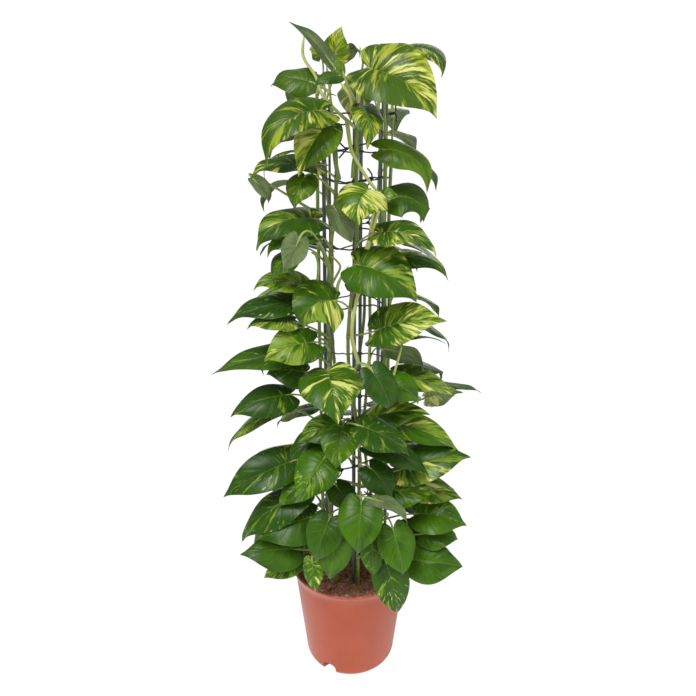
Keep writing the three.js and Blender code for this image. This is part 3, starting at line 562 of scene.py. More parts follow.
def smooth_curve(points, steps):
    """A Catmull-Rom curve through the points, with that many steps between each two."""
    points = np.asarray(points, float)
    ends = np.concatenate([[2 * points[0] - points[1]], points, [2 * points[-1] - points[-2]]])
    curve = []
    for k in range(1, len(ends) - 2):
        before, start, stop, after = ends[k - 1:k + 3]
        for i in range(steps):
            t = i / steps
            curve.append(0.5 * (
                2 * start + (stop - before) * t
                + (2 * before - 5 * start + 4 * stop - after) * t ** 2
                + (3 * start - before - 3 * stop + after) * t ** 3
            ))
    curve.append(points[-1])
    return np.array(curve)


def arc(middle, radius, start, stop, steps):
    """Points of a round corner in a profile, by angles in degrees."""
    points = []
    for k in range(steps + 1):
        angle = math.radians(start + (stop - start) * k / steps)
        points.append((middle[0] + radius * math.cos(angle), middle[1] + radius * math.sin(angle)))
    return points


def spun(name, profile, steps):
    """Spins a profile of (radius, height) points round the pot's axis into a closed body."""
    mesh = bpy.data.meshes.new(name)
    points = [(radius * MM, 0, height * MM) for radius, height in profile]
    mesh.from_pydata(points, [(i, i + 1) for i in range(len(points) - 1)], [])
    piece = add_object(name, mesh)
    select_only(piece)
    bpy.ops.object.mode_set(mode="EDIT")
    bpy.ops.mesh.select_all(action="SELECT")
    bpy.ops.mesh.spin(steps=steps, angle=2 * math.pi, center=(0, 0, 0), axis=(0, 0, 1))
    bpy.ops.mesh.select_all(action="SELECT")
    bpy.ops.mesh.remove_doubles(threshold=1e-5)
    bpy.ops.mesh.normals_make_consistent(inside=False)
    bpy.ops.object.mode_set(mode="OBJECT")
    return piece


def cut_away(piece, cutters):
    """Cuts the cutters out of a piece, and removes them."""
    for cutter in cutters:
        select_only(piece)
        modifier = piece.modifiers.new("cut", "BOOLEAN")
        modifier.operation = "DIFFERENCE"
        modifier.solver = "EXACT"
        modifier.object = cutter
        bpy.ops.object.modifier_apply(modifier=modifier.name)
        bpy.data.objects.remove(cutter)


# Materials

class Finish:
    """A material whose nodes are added one by one, round one Principled shader."""

    def __init__(self, name, roughness=0.5, specular=0.5):
        self.material = bpy.data.materials.new(name)
        self.material.use_nodes = True
        self.tree = self.material.node_tree
        self.tree.nodes.clear()
        inputs = {"Roughness": roughness, "Specular IOR Level": specular}
        self.shader = self.add("ShaderNodeBsdfPrincipled", inputs)
        self.add("ShaderNodeOutputMaterial", {"Surface": self.shader.outputs["BSDF"]})

    def add(self, kind, inputs, **settings):
        node = self.tree.nodes.new(kind)
        for name, value in settings.items():
            setattr(node, name, value)
        for key, value in inputs.items():
            self.put(node.inputs[key], value)
        return node

    def put(self, socket, value):
        if isinstance(value, bpy.types.NodeSocket):
            self.tree.links.new(value, socket)
        elif socket.type == "RGBA":
            socket.default_value = (*value, 1)
        else:
            socket.default_value = value

    def set(self, name, value):
        self.put(self.shader.inputs[name], value)

    def place(self):
        return self.add("ShaderNodeTexCoord", {}).outputs["Object"]

    def attribute(self, name):
        vector = self.add("ShaderNodeAttribute", {}, attribute_name=name).outputs["Vector"]
        return self.split(vector)

    def split(self, vector):
        return tuple(self.add("ShaderNodeSeparateXYZ", {0: vector}).outputs)

    def combine(self, x, y, z):
        return self.add("ShaderNodeCombineXYZ", {0: x, 1: y, 2: z}).outputs[0]

    def math(self, operation, first, second=0.0):
        return self.add("ShaderNodeMath", {0: first, 1: second}, operation=operation).outputs[0]

    def plus(self, first, second):
        return self.math("ADD", first, second)

    def minus(self, first, second):
        return self.math("SUBTRACT", first, second)

    def times(self, first, second):
        return self.math("MULTIPLY", first, second)

    def noise(self, vector, scale, detail=2.0, roughness=0.5, distortion=0.0):
        inputs = {
            "Vector": vector,
            "Scale": scale,
            "Detail": detail,
            "Roughness": roughness,
            "Distortion": distortion,
        }
        return self.add("ShaderNodeTexNoise", inputs).outputs[0]

    def fade(self, value, low, high, start=0.0, stop=1.0):
        """value from low to high becomes start to stop, and stays there beyond."""
        return self.add("ShaderNodeMapRange", {0: value, 1: low, 2: high, 3: start, 4: stop}).outputs[0]

    def mix(self, share, first, second):
        inputs = {0: share, 6: first, 7: second}
        return self.add("ShaderNodeMix", inputs, data_type="RGBA").outputs[2]

    def cover(self, base, colour, share, most):
        """The base with a colour over it, as far as the share says and no more than most."""
        return self.mix(self.times(share, most), base, colour)

    def bump(self, height, distance, strength=1.0):
        inputs = {"Height": height, "Distance": distance, "Strength": strength}
        self.set("Normal", self.add("ShaderNodeBump", inputs).outputs[0])


def pot_finish(settings):
    """Satin moulded plastic: faint clouds, fine grain, pale scuffs at the lip and foot."""
    finish = Finish("moulded_pot", specular=0.3)
    place = finish.place()
    x, y, height = finish.split(place)
    clouds = finish.noise(place, 22, 3)
    base = finish.mix(finish.fade(clouds, 0.35, 0.65), settings.plastic, settings.plastic_pale)
    scuffs = finish.noise(finish.combine(x, y, finish.times(height, 3)), 190, 4)
    lip = finish.fade(height, LIP_HALFWAY * MM, (POT_HEIGHT - 1) * MM)
    foot = finish.fade(height, (FOOT_CORNER - 2) * MM, 2 * MM)
    worn = finish.times(finish.plus(lip, foot), finish.fade(scuffs, 0.5, 0.62))
    base = finish.cover(base, settings.scuff, worn, 0.35)
    dust = finish.fade(finish.noise(place, 900), 0.66, 0.74)
    base = finish.cover(base, settings.scuff, dust, 0.25)
    finish.set("Base Color", base)
    finish.set("Sheen Weight", 0.13)
    finish.set("Sheen Roughness", 0.4)
    finish.set("Sheen Tint", (1, 0.9, 0.87))
    dullness = finish.fade(clouds, 0.3, 0.7, 0.36, 0.46)
    finish.set("Roughness", finish.times(dullness, finish.fade(lip, 0, 1, 1, 0.6)))
    finish.bump(finish.noise(place, 1400), 0.00008, 0.5)
    return finish.material


def soil_finish(settings):
    """Moist peat and coir, with paler bark and fibre."""
    finish = Finish("peat_and_coir", roughness=0.9, specular=0.25)
    place = finish.place()
    grain = finish.noise(place, 420, 4, 0.65)
    base = finish.mix(finish.fade(grain, 0.35, 0.6), settings.peat, settings.peat_pale)
    damp = finish.fade(finish.noise(place, 70, 4, 0.6), 0.5, 0.4, 0, 0.6)
    base = finish.mix(damp, base, settings.peat_damp)
    bark = finish.fade(finish.noise(place, 230, 2, 0.5, 1.5), 0.6, 0.65)
    base = finish.cover(base, settings.bark, bark, 0.6)
    tint = finish.attribute("tint")[0]
    finish.set("Base Color", finish.mix(tint, base, settings.bark))
    finish.bump(finish.noise(place, 700, 5, 0.7), 0.0012)
    return finish.material


def rod_finish(settings):
    """Green-grey coating with fine lengthwise streaks and moss-coloured patches."""
    finish = Finish("rod_coating_finish")
    place = finish.place()
    x, y, z = finish.split(place)
    streaks = finish.noise(finish.combine(x, y, finish.times(z, 0.08)), 900, 3)
    patches = finish.noise(place, 40, 3)
    base = finish.mix(finish.fade(streaks, 0.35, 0.65), settings.rod, settings.rod_pale)
    base = finish.mix(finish.fade(patches, 0.55, 0.7, 0, 0.45), base, settings.rod_moss)
    finish.set("Base Color", base)
    finish.set("Roughness", finish.fade(streaks, 0.3, 0.7, 0.4, 0.62))
    finish.bump(streaks, 0.0003)
    return finish.material


def wire_finish(settings):
    """Black coating, a little dusty."""
    finish = Finish("wire_coating_finish")
    place = finish.place()
    dust = finish.fade(finish.noise(place, 350, 3), 0.5, 0.75)
    finish.set("Base Color", finish.mix(dust, settings.wire, settings.wire_dusty))
    finish.set("Roughness", finish.fade(dust, 0, 1, 0.36, 0.6))
    finish.bump(finish.noise(place, 1100), 0.0001)
    return finish.material


def threshold(finish, amount):
    """The height above which a noise covers about that share of a blade."""
    return finish.plus(finish.fade(amount, 0, 1, 0.72, 0.3), finish.fade(amount, 0, 0.1, 0.25, 0))


def vein_noise(finish, across, reach, lane, spread, detail=2.0, roughness=0.5):
    """A noise stretched along the side veins, with that spread across them and along them."""
    place = finish.combine(finish.times(across, spread[0]), finish.times(reach, spread[1]), lane)
    return finish.noise(place, 1, detail, roughness)


def vein_streaks(finish, across, reach, lane, spread, edge):
    """A height that varies in streaks that run along the side veins, with ragged ends."""
    wide = vein_noise(finish, across, reach, lane, spread)
    fine = vein_noise(finish, across, reach, lane, (52, 1.7), 3, 0.6)
    return finish.plus(wide, finish.times(finish.minus(fine, 0.5), edge))


def blade_patches(finish, across, reach, lane, lime, cream):
    """Shares of lime and cream at each point of a blade."""
    lime_streaks = vein_streaks(finish, across, reach, finish.plus(lane, 40), (14, 0.9), 0.8)
    cream_streaks = vein_streaks(finish, across, reach, lane, (11, 0.8), 0.7)
    lime_over = finish.minus(lime_streaks, threshold(finish, lime))
    cream_over = finish.minus(cream_streaks, threshold(finish, cream))
    either_over = finish.math("MAXIMUM", lime_over, finish.plus(cream_over, 0.03))
    return finish.fade(either_over, -0.06, 0.08), finish.fade(cream_over, -0.03, 0.06)


def blade_finish(settings):
    """A leaf blade: green, with lime and cream patches along its side veins, a pale
    midrib, and a grey-green underside with raised veins."""
    finish = Finish("leaf_blade", specular=0.17)
    row, column, aside = finish.attribute("vein")
    cream, lime, seed = finish.attribute("habit")
    shade, under, fleck = finish.attribute("tone")
    warmth = finish.attribute("mark")[0]
    place = finish.place()
    reach = finish.math("ABSOLUTE", column)
    lane = finish.plus(seed, finish.times(finish.math("GREATER_THAN", column, 0), 13.7))
    bend = finish.times(finish.minus(finish.noise(place, 75), 0.5), 0.035)
    across = finish.plus(row, bend)

    green = finish.cover(settings.green_bright, settings.green_olive, warmth, 0.75)
    # Dark to bright green by the shade attribute: partly the leaf's own tone, partly painted shade and
    # painted light
    green = finish.mix(shade, settings.green_dark, green)
    tone = vein_streaks(finish, across, reach, finish.plus(lane, 80), (3, 1.2), 0.55)
    green = finish.mix(finish.fade(tone, 0.4, 0.7, 0, 0.7), green, settings.green_deep)
    lime_patches, cream_patches = blade_patches(finish, across, reach, lane, lime, cream)
    flecks = vein_noise(finish, across, reach, lane, (40, 3.5))
    fleck_patches = finish.fade(finish.minus(flecks, finish.fade(fleck, 0, 1, 0.8, 0.64)), 0, 0.05)
    lime_tint = finish.mix(warmth, settings.lime, settings.lime_warm)
    surface = finish.cover(green, lime_tint, lime_patches, 0.88)
    surface = finish.cover(surface, settings.fleck, fleck_patches, 0.7)
    surface = finish.mix(cream_patches, surface, settings.cream)

    wave = finish.math("COSINE", finish.times(row, 2 * math.pi * SIDE_VEINS))
    vein_line = finish.times(finish.fade(wave, 0.9, 1), finish.fade(reach, 1, 0.4))
    surface = finish.cover(surface, settings.midrib, vein_line, 0.06)
    midrib_width = finish.fade(row, 0.2, 1, 1.5, 0.5)
    midrib = finish.fade(finish.math("DIVIDE", aside, midrib_width), 1, 0.45)
    surface = finish.cover(surface, settings.midrib, midrib, 0.26)

    below = finish.mix(finish.fade(tone, 0.35, 0.7), settings.under, settings.under_pale)
    below = finish.cover(below, lime_tint, lime_patches, 0.35)
    below = finish.cover(below, settings.cream, cream_patches, 0.55)
    below = finish.cover(below, settings.under_pale, vein_line, 0.25)
    finish.set("Base Color", finish.mix(under, surface, below))
    gloss = finish.fade(finish.noise(place, 60), 0.3, 0.7, 0.22, 0.36)
    finish.set("Roughness", finish.fade(under, 0, 1, gloss, 0.62))
    ribs = finish.times(finish.fade(wave, 0.55, 1), finish.fade(under, 0, 1, -0.3, 1))
    finish.bump(finish.plus(ribs, finish.times(finish.noise(place, 1300), 0.22)), 0.0004)
    return finish.material


def stalk_finish(settings):
    """A leaf stalk or stem: olive to lime, streaked lengthwise, browner at its rings."""
    finish = Finish("stalk_and_stem", roughness=0.42)
    along, angle, ring = finish.attribute("vein")
    shade, yellow, _spare = finish.attribute("tone")
    long_place = finish.combine(finish.times(along, 0.02), finish.times(angle, 9), shade)
    streaks = finish.noise(long_place, 1, 3)
    base = finish.mix(shade, settings.stem, settings.stalk)
    base = finish.mix(finish.fade(streaks, 0.45, 0.65, 0, 0.55), base, settings.green_bright)
    base = finish.mix(yellow, base, settings.stalk_yellow)
    finish.set("Base Color", finish.cover(base, settings.root, ring, 0.7))
    finish.bump(finish.noise(finish.place(), 900, 3), 0.00025)
    return finish.material


def root_finish(settings):
    """Brown, corky aerial roots."""
    finish = Finish("aerial_root", roughness=0.85, specular=0.3)
    grain = finish.noise(finish.place(), 800, 4)
    finish.set("Base Color", finish.mix(grain, settings.root, settings.root_pale))
    finish.bump(grain, 0.0006)
    return finish.material


# Pot and soil

def inner_wall_radius(height):
    slope = (WALL_TOP_RADIUS - WALL_FOOT_RADIUS) / (WALL_TOP - FOOT_CORNER)
    return WALL_FOOT_RADIUS + (height - FOOT_CORNER) * slope - WALL


def floor_profile(offset):
    roof = CHANNEL_HEIGHT + offset
    return [
        (0, offset),
        (PAD_RADIUS - offset, offset),
        (PAD_RADIUS + CHANNEL_TAPER - offset, roof),
    ]


def pot_profile():
    """Half of the pot's section, from the middle of its underside round to the middle of its floor."""
    floor_top = CHANNEL_HEIGHT + WALL
    profile = floor_profile(0)
    profile += [
        (CHANNEL_OUTER_RADIUS - CHANNEL_TAPER, CHANNEL_HEIGHT),
        (CHANNEL_OUTER_RADIUS, FOOT_EDGE),
        (CHANNEL_OUTER_RADIUS + FOOT_EDGE, 0),
    ]
    profile += arc((WALL_FOOT_RADIUS - FOOT_CORNER, FOOT_CORNER), FOOT_CORNER, -90, 0, 8)
    profile.extend(smooth_curve([
        (WALL_TOP_RADIUS - 1.4, WALL_TOP - 12),
        (WALL_TOP_RADIUS, WALL_TOP),
        (RIM_RADIUS - 3.5, LIP_HALFWAY),
        (RIM_RADIUS - 0.5, POT_HEIGHT - 4),
    ], 4))
    profile += arc((RIM_RADIUS - LIP_ROUND, POT_HEIGHT - LIP_ROUND), LIP_ROUND, -5, 150, 10)
    profile += [
        (inner_wall_radius(WALL_TOP) + 1.5, LIP_HALFWAY),
        (inner_wall_radius(WALL_TOP), WALL_TOP),
        (inner_wall_radius(floor_top + INNER_CORNER), floor_top + INNER_CORNER),
        (inner_wall_radius(floor_top) - INNER_CORNER, floor_top),
    ]
    return profile + floor_profile(WALL)[::-1]


def notch_cutter(turn):
    """A notch with rounded corners that lies across the foot's wall."""
    place = direction(turn) * WALL_FOOT_RADIUS * MM
    bpy.ops.mesh.primitive_cube_add(size=1, location=tuple(place), rotation=(0, 0, math.radians(turn)))
    cutter = bpy.context.object
    cutter.scale = (FOOT_NOTCH_WIDTH * MM, NOTCH_REACH * MM, 2 * FOOT_NOTCH_HEIGHT * MM)
    bpy.ops.object.transform_apply(location=False, rotation=True, scale=True)
    round_edges(cutter, NOTCH_CORNER, 8)
    return cutter


def drain_cutter(turn):
    place = direction(turn) * DRAIN_RING_RADIUS * MM
    bpy.ops.mesh.primitive_cylinder_add(
        vertices=24, radius=DRAIN_HOLE_RADIUS * MM, depth=DRAIN_CUT_DEPTH * MM,
        location=(place[0], place[1], CHANNEL_HEIGHT * MM),
    )
    return bpy.context.object


def soil_height(x, y):
    """The even surface under the clods, which the solid soil has too."""
    waves = math.sin(x * 0.11 + 1.3) * math.cos(y * 0.13 - 0.4)
    ripples = math.sin(x * 0.23 - y * 0.19)
    from_mound = math.hypot(x - MOUND_X, y - MOUND_Y) / MOUND_SPREAD
    return SOIL_TOP + SOIL_LUMP * (waves + 0.6 * ripples) + MOUND_HEIGHT * math.exp(-from_mound ** 2)


def clods(x, y):
    """Crumbly ups and downs of the soil's surface."""
    coarse, middle, fine = (
        noise.noise(Vector((x * close, y * close, layer))) for close, layer in CLOD_NOISES)
    heights = (min(abs(coarse), COARSE_TOP) - COARSE_LEVEL, abs(middle), fine)
    return sum(most * height for most, height in zip(CLOD_HEIGHTS, heights))


def soil_body():
    """The soil as one spun body, its top raised by the mound and the clods."""
    low = CHANNEL_HEIGHT + WALL + SOIL_GAP
    edge = inner_wall_radius(WALL_TOP) - SOIL_GAP
    profile = floor_profile(WALL + SOIL_GAP)
    profile += [
        (inner_wall_radius(low) - INNER_CORNER - SOIL_GAP, low),
        (inner_wall_radius(low + INNER_CORNER) - SOIL_GAP, low + INNER_CORNER),
        (edge, WALL_TOP - 2),
    ]
    for k in range(SOIL_RINGS + 1):
        profile.append((edge * (1 - (k / SOIL_RINGS) ** 1.3), SOIL_TOP))
    piece = spun("potting_mix", profile, SOIL_STEPS)
    for vertex in piece.data.vertices:
        x, y, z = vertex.co / MM
        if z > WALL_TOP:
            inside = min((edge - math.hypot(x, y)) / CALM_EDGE, 1)
            share = CALM_SHARE + (1 - CALM_SHARE) * inside
            vertex.co.z = (soil_height(x, y) + clods(x, y) * share - SOIL_SINK) * MM
    return piece


def icosahedron():
    """Corners and outward faces of the 20-faced ball that each crumb starts from."""
    golden = (1 + math.sqrt(5)) / 2
    corners = []
    for a in (-1, 1):
        for b in (-golden, golden):
            corners += [(0, a, b), (a, b, 0), (b, 0, a)]
    corners = np.array(corners) / math.hypot(1, golden)
    faces = []
    for i, j, k in combinations(range(len(corners)), 3):
        edges = [np.linalg.norm(corners[p] - corners[q]) for p, q in ((i, j), (j, k), (i, k))]
        if max(edges) < 1.1:
            turned = np.linalg.det(corners[[i, j, k]]) < 0
            faces.append((i, k, j) if turned else (i, j, k))
    return corners, faces


CRUMB_CORNERS, CRUMB_FACES = icosahedron()


def crumb(random, size, place):
    """Points of a lump of bark or peat: a small ball with its corners pushed in and out."""
    lengths = np.array([random(0.7, 1.25) for _corner in CRUMB_CORNERS])
    stretch = np.array([random(0.6, 1.5), random(0.6, 1.5), random(0.5, 0.9)])
    return CRUMB_CORNERS * lengths[:, None] * stretch * size + place


def fibre(random, place):
    """A coir fibre: a thin bent tube that lies on the soil."""
    heading = direction(random(0, 360), random(-8, 22))
    length = random(6, 22)
    bow = np.cross(heading, [0, 0, 1]) * random(-0.3, 0.3) * length
    shares = np.linspace(0, 1, 7)
    path = [place + heading * length * (s - 0.5) + bow * 4 * s * (1 - s) for s in shares]
    return tube(path, FIBRE_RADIUS, 4)


def crumb_place(random, edge, on_mound):
    if on_mound:
        return MOUND_X + random(-34, 30), MOUND_Y + random(-20, 34)
    radius, turn = edge * math.sqrt(random(0, 1)), random(0, 2 * math.pi)
    return radius * math.cos(turn), radius * math.sin(turn)


def soil_crumbs(materials):
    """Crumbs and fibres spread over the soil, thickest on the mound."""
    parts = Parts(("tint",))
    random = make_random(CRUMB_SEED)
    edge = inner_wall_radius(WALL_TOP) - CRUMBS_FROM_WALL
    for k in range(CRUMBS):
        x, y = crumb_place(random, edge, k % 5 == 0)
        if math.hypot(x, y) > edge:
            continue
        place = np.array([x, y, soil_height(x, y) + clods(x, y) - CRUMB_SINK])
        if k % 9 == 4:
            points, faces = fibre(random, place + np.array([0, 0, FIBRE_LIFT]))
            parts.add(points, faces, tint=(random(0.35, 1), 0, 0))
        else:
            size = random(0.8, 1.5) + 2.2 * random(0, 1) ** 6
            pale = random(0, 1) > 0.8
            points = crumb(random, size, place)
            parts.add(points, CRUMB_FACES, tint=(random(0.5, 1) if pale else random(0, 0.12), 0, 0))
    return parts.piece("bark_and_fibre", materials)


# Rack

def rod_ring_radius(radius):
    return ROD_RING_RADIUS + THICK_ROD_RADIUS - radius


def rod_piece(index, turn, radius, top, material):
    """A coated rod with a rounded top."""
    place = on_rack(turn, rod_ring_radius(radius), (ROD_FOOT + top) / 2) * MM
    bpy.ops.object.select_all(action="DESELECT")
    bpy.ops.mesh.primitive_cylinder_add(
        vertices=20, radius=radius * MM, depth=(top - ROD_FOOT) * MM, location=tuple(place))
    rod = bpy.context.object
    rod.name = f"coated_rod_{index}"
    bpy.ops.object.transform_apply(location=True, rotation=True, scale=True)
    round_edges(rod, radius * 0.6, 4)
    smooth_by_angle(rod, 40)
    rod.data.materials.append(material)
    return rod


def wire_point(wire, turn, out):
    height, sway, _ends = wire
    wave = math.sin(2 * math.radians(turn) + height) + 0.5 * math.sin(3 * math.radians(turn))
    return on_rack(turn, WIRE_RING_RADIUS + out, height + sway * wave)


def wire_loop(wire, random):
    """The wire's way round the rack, with kinks of its own."""
    ends = wire[2]
    points = []
    for turn in range(WIRE_TURN_STEP, 360, WIRE_TURN_STEP):
        point = wire_point(wire, ends + turn, random(-0.25, 0.25))
        points.append(point + np.array([0, 0, random(-0.8, 0.8)]))
    return points


def twisted_ends(wire, first, last, random):
    """Two ends that twist round each other, then part and curl."""
    ends = wire[2]
    out = direction(ends, random(-8, 12))
    start = (first + last) / 2 + out * TWIST_START
    sideways = unit(np.cross(out, [0, 0, 1]))
    upwards = np.cross(sideways, out)
    strands = []
    for phase, curl in ((0, 1), (math.pi, -1)):
        strand = []
        for k in range(END_POINTS):
            angle = phase + k * TWIST_TURN
            offset = sideways * math.cos(angle) + upwards * math.sin(angle)
            strand.append(start + out * k * TWIST_STEP + offset * WIRE_RADIUS * 1.05)
        heading = out * 0.8 + upwards * curl * random(0.2, 0.7) + sideways * random(-0.7, 0.7)
        bend = curl * random(0.3, 0.6)
        for _point in range(END_POINTS):
            heading = unit(heading + upwards * bend + sideways * bend * curl)
            strand.append(strand[-1] + heading * random(1.2, 1.9))
        strands.append(strand)
    return strands


def rod_wrap(turn, height, random):
    """One tight turn of wire round a thick rod."""
    middle = on_rack(turn, rod_ring_radius(THICK_ROD_RADIUS), height)
    outward = direction(turn)
    sideways = np.cross([0, 0, 1], outward)
    start = random(0, 2 * math.pi)
    path = []
    for k in range(WRAP_POINTS):
        angle = start + k * WRAP_TURN
        offset = outward * math.cos(angle) + sideways * math.sin(angle)
        climb = np.array([0, 0, k * WRAP_CLIMB])
        path.append(middle + offset * (THICK_ROD_RADIUS + WIRE_RADIUS) + climb)
    return path


def wire_piece(index, wire, material):
    parts = Parts()
    random = make_random(WIRE_SEED + 37 * index)
    loop = wire_loop(wire, random)
    first_strand, last_strand = twisted_ends(wire, loop[0], loop[-1], random)
    route = first_strand[::-1] + loop + last_strand
    parts.add(*tube(smooth_curve(route, 3), WIRE_RADIUS, 7))
    for turn, radius, _top in RODS:
        if radius == THICK_ROD_RADIUS and random(0, 1) < WRAP_SHARE:
            height = wire_point(wire, turn, 0)[2] + random(-1, 1)
            parts.add(*tube(smooth_curve(rod_wrap(turn, height, random), 2), WIRE_RADIUS * 0.9, 6))
    piece = parts.piece(f"tying_wire_{index}", [material])
    smooth_by_angle(piece, 60)
    return piece


# Where leaves go: the same rule as the solids follow

def vine_turn(vine, height):
    turn, sway, phase, _top = vine
    above = max(height - SWAY_FROM, 0)
    slow = math.sin(above / SWAY_SPAN + phase) - math.sin(phase)
    bend = math.sin(above / BEND_SPAN + 3 * phase) - math.sin(3 * phase)
    return turn + sway * slow + BEND_TURN * bend


def vine_point(vine, height):
    return on_rack(vine_turn(vine, height), STEM_RING_RADIUS, height)


def nearest_vine(point):
    turn = math.degrees(math.atan2(point[0] - RACK_X, -point[1]))

    def turn_between(vine):
        between = math.fmod(vine_turn(vine, point[2]) - turn, 360)
        return abs(math.fmod(between + 540, 360) - 180)

    return min(VINES, key=turn_between)


def make_leaf(base, tip, width, turn, rise, arch, hook, fold, look):
    return SimpleNamespace(
        base=np.array(base, float), tip=np.array(tip, float), width=width,
        turn=turn, rise=rise, arch=arch, hook=hook, fold=fold, look=look,
    )


def axes_of(leaf):
    """The blade's own axes: along its midrib, out of its upper face, and across."""
    along = leaf.tip - leaf.base
    length = np.linalg.norm(along)
    along = along / length
    face = direction(leaf.turn, leaf.rise)
    up = unit(face - along * (face @ along))
    across = np.cross(up, along)
    high = -1 if across[2] < 0 else 1
    return SimpleNamespace(length=length, along=along, up=up, across=across, high=high)


def blade_points(leaf, axes, u, v):
    """Points of the blade's middle surface with their normals, u from base to tip and
    v from the midrib (0) to either edge (1, -1) of the widest part."""
    u, v = np.asarray(u, float), np.asarray(v, float)
    bow = (4 * u * (1 - u))[..., None]
    slope = (4 * (1 - 2 * u) / axes.length)[..., None]
    normal = axes.up - axes.along * leaf.arch * slope
    normal = normal / np.linalg.norm(normal, axis=-1, keepdims=True)
    side = axes.across - axes.along * leaf.hook * slope * axes.high
    side = side / np.linalg.norm(side, axis=-1, keepdims=True)
    x = v * leaf.width / 2
    lift = leaf.fold * np.abs(x) - BLADE_DIP * x * x / (leaf.width / 2)
    points = (
        leaf.base + axes.along * axes.length * u[..., None]
        + axes.up * leaf.arch * bow
        + axes.across * axes.high * leaf.hook * bow
        + side * x[..., None]
        + normal * lift[..., None]
    )
    return points, normal


def half_width_at(u):
    shares, halves = zip(*OUTLINE[1:])
    return float(np.interp(u, shares, halves))


def sample_places():
    lobe_u, lobe_v = OUTLINE[1]
    places = [(lobe_u, lobe_v), (lobe_u, -lobe_v)]
    for u in SAMPLE_ROWS:
        for share in SAMPLE_SHARES:
            places.append((u, share * half_width_at(u)))
    return np.array(places).T


SAMPLE_U, SAMPLE_V = sample_places()


def stalk_route(leaf, axes):
    """The vine that carries a leaf, and its stalk's route: start, bend and end."""
    vine = nearest_vine(leaf.base)
    reach = math.hypot(leaf.base[0] - RACK_X, leaf.base[1]) - STEM_RING_RADIUS
    drop = min(max(DROP_SHARE * reach, LEAST_DROP), MOST_DROP)
    joint = min(max(leaf.base[2] - drop, LOWEST_JOINT), vine[3] - TOP_BUD)
    start = vine_point(vine, joint)
    span = np.linalg.norm(leaf.base - start)
    ahead = blade_points(leaf, axes, 0.1, 0.0)[0]
    bend = leaf.base - unit(ahead - leaf.base) * STALK_PULL * span
    return vine, joint, (start, bend, leaf.base)


def on_route(route, shares):
    start, bend, end = route
    t = np.asarray(shares, float)[:, None]
    return start * (1 - t) ** 2 + bend * 2 * t * (1 - t) + end * t ** 2


def heights_over(points, samples, normals):
    """How high the points that are near a blade stand over it, under it if less than 0."""
    apart = ((points[:, None, :] - samples[None, :, :]) ** 2).sum(axis=2)
    nearest = apart.argmin(axis=1)
    near = apart[np.arange(len(points)), nearest] < NEAR_REACH ** 2
    nearest = nearest[near]
    return ((points[near] - samples[nearest]) * normals[nearest]).sum(axis=1)


def stays_one_side(heights):
    return bool((heights > BLADE_CLEARANCE).all() or (heights < -BLADE_CLEARANCE).all())


def stalks_apart(first, second):
    apart = ((first[:, None, :] - second[None, :, :]) ** 2).sum(axis=2)
    return bool((apart > STALK_CLEARANCE ** 2).all())


def is_clear(new, placed):
    x, y, z = new.samples.T
    if ((z < RACK_TOP) & (np.hypot(x - RACK_X, y) < RACK_CLEARANCE)).any():
        return False
    if ((z < POT_HEIGHT + POT_TOP_CLEARANCE) & (np.hypot(x, y) < POT_CLEARANCE)).any():
        return False
    for other in placed:
        if np.linalg.norm(new.centre - other.centre) > new.reach + other.reach + NEIGHBOUR_MARGIN:
            continue
        clear = (
            stays_one_side(heights_over(new.samples, other.samples, other.normals))
            and stays_one_side(heights_over(other.samples, new.samples, new.normals))
            and stays_one_side(heights_over(new.stalk, other.samples, other.normals))
            and stays_one_side(heights_over(other.stalk, new.samples, new.normals))
            and (new.vine is other.vine or stalks_apart(new.stalk, other.stalk))
        )
        if not clear:
            return False
    return True


def candidate_from(leaf):
    axes = axes_of(leaf)
    samples, normals = blade_points(leaf, axes, SAMPLE_U, SAMPLE_V)
    vine, joint, route = stalk_route(leaf, axes)
    return SimpleNamespace(
        leaf=leaf, axes=axes, samples=samples, normals=normals, vine=vine, joint=joint, route=route,
        stalk=on_route(route, STALK_SHARES),
        centre=leaf.base + (leaf.tip - leaf.base) * CENTRE_SHARE,
        reach=np.linalg.norm(leaf.tip - leaf.base) * REACH_SHARE,
    )


def place_clear(leaf, way, placed):
    """The leaf at the first place along its way where it has room, if there is one."""
    for lift in LIFTS:
        for turn in TURNS:
            for slide in SLIDES:
                shift = np.array([0, 0, lift]) + way * slide
                moved = SimpleNamespace(**vars(leaf))
                moved.base = leaf.base + shift
                moved.tip = leaf.tip + shift
                moved.turn = leaf.turn + turn
                new = candidate_from(moved)
                if is_clear(new, placed):
                    return new
    return None


def place_front_leaves(placed):
    for row in FRONT_LEAVES:
        leaf = make_leaf(*row)
        found = place_clear(leaf, unit(leaf.base - VIEWER), placed)
        if found:
            placed.append(found)


def cell_of(point):
    """The cell of the viewer's picture that a point is in."""
    share = VIEWER[1] / (VIEWER[1] - point[1])
    x = VIEWER[0] + (point[0] - VIEWER[0]) * share
    z = VIEWER[2] + (point[2] - VIEWER[2]) * share
    return math.floor(x / CELL), math.floor(z / CELL)


def cells_hidden_by(leaves):
    places = []
    u = 0.0
    while u < 1:
        share = -1.0
        while share < 1.05:
            places.append((u, share * half_width_at(u)))
            share += CELL_COLUMN_STEP
        u += CELL_ROW_STEP
    u_all, v_all = np.array(places).T
    cells = set()
    for item in leaves:
        for point in blade_points(item.leaf, item.axes, u_all, v_all)[0]:
            column, row = cell_of(point)
            for right, up in ((0, 0), (1, 0), (-1, 0), (0, 1), (0, -1)):
                cells.add((column + right, row + up))
    return cells


def is_hidden(new, cells):
    hidden = 0
    for point in new.samples:
        column, row = cell_of(point)
        in_core = abs(column * CELL - RACK_X) < CORE_HALF_WIDTH and row * CELL < CORE_TOP
        hidden += in_core or (column, row) in cells
    return hidden >= HIDDEN_SHARE * len(new.samples)


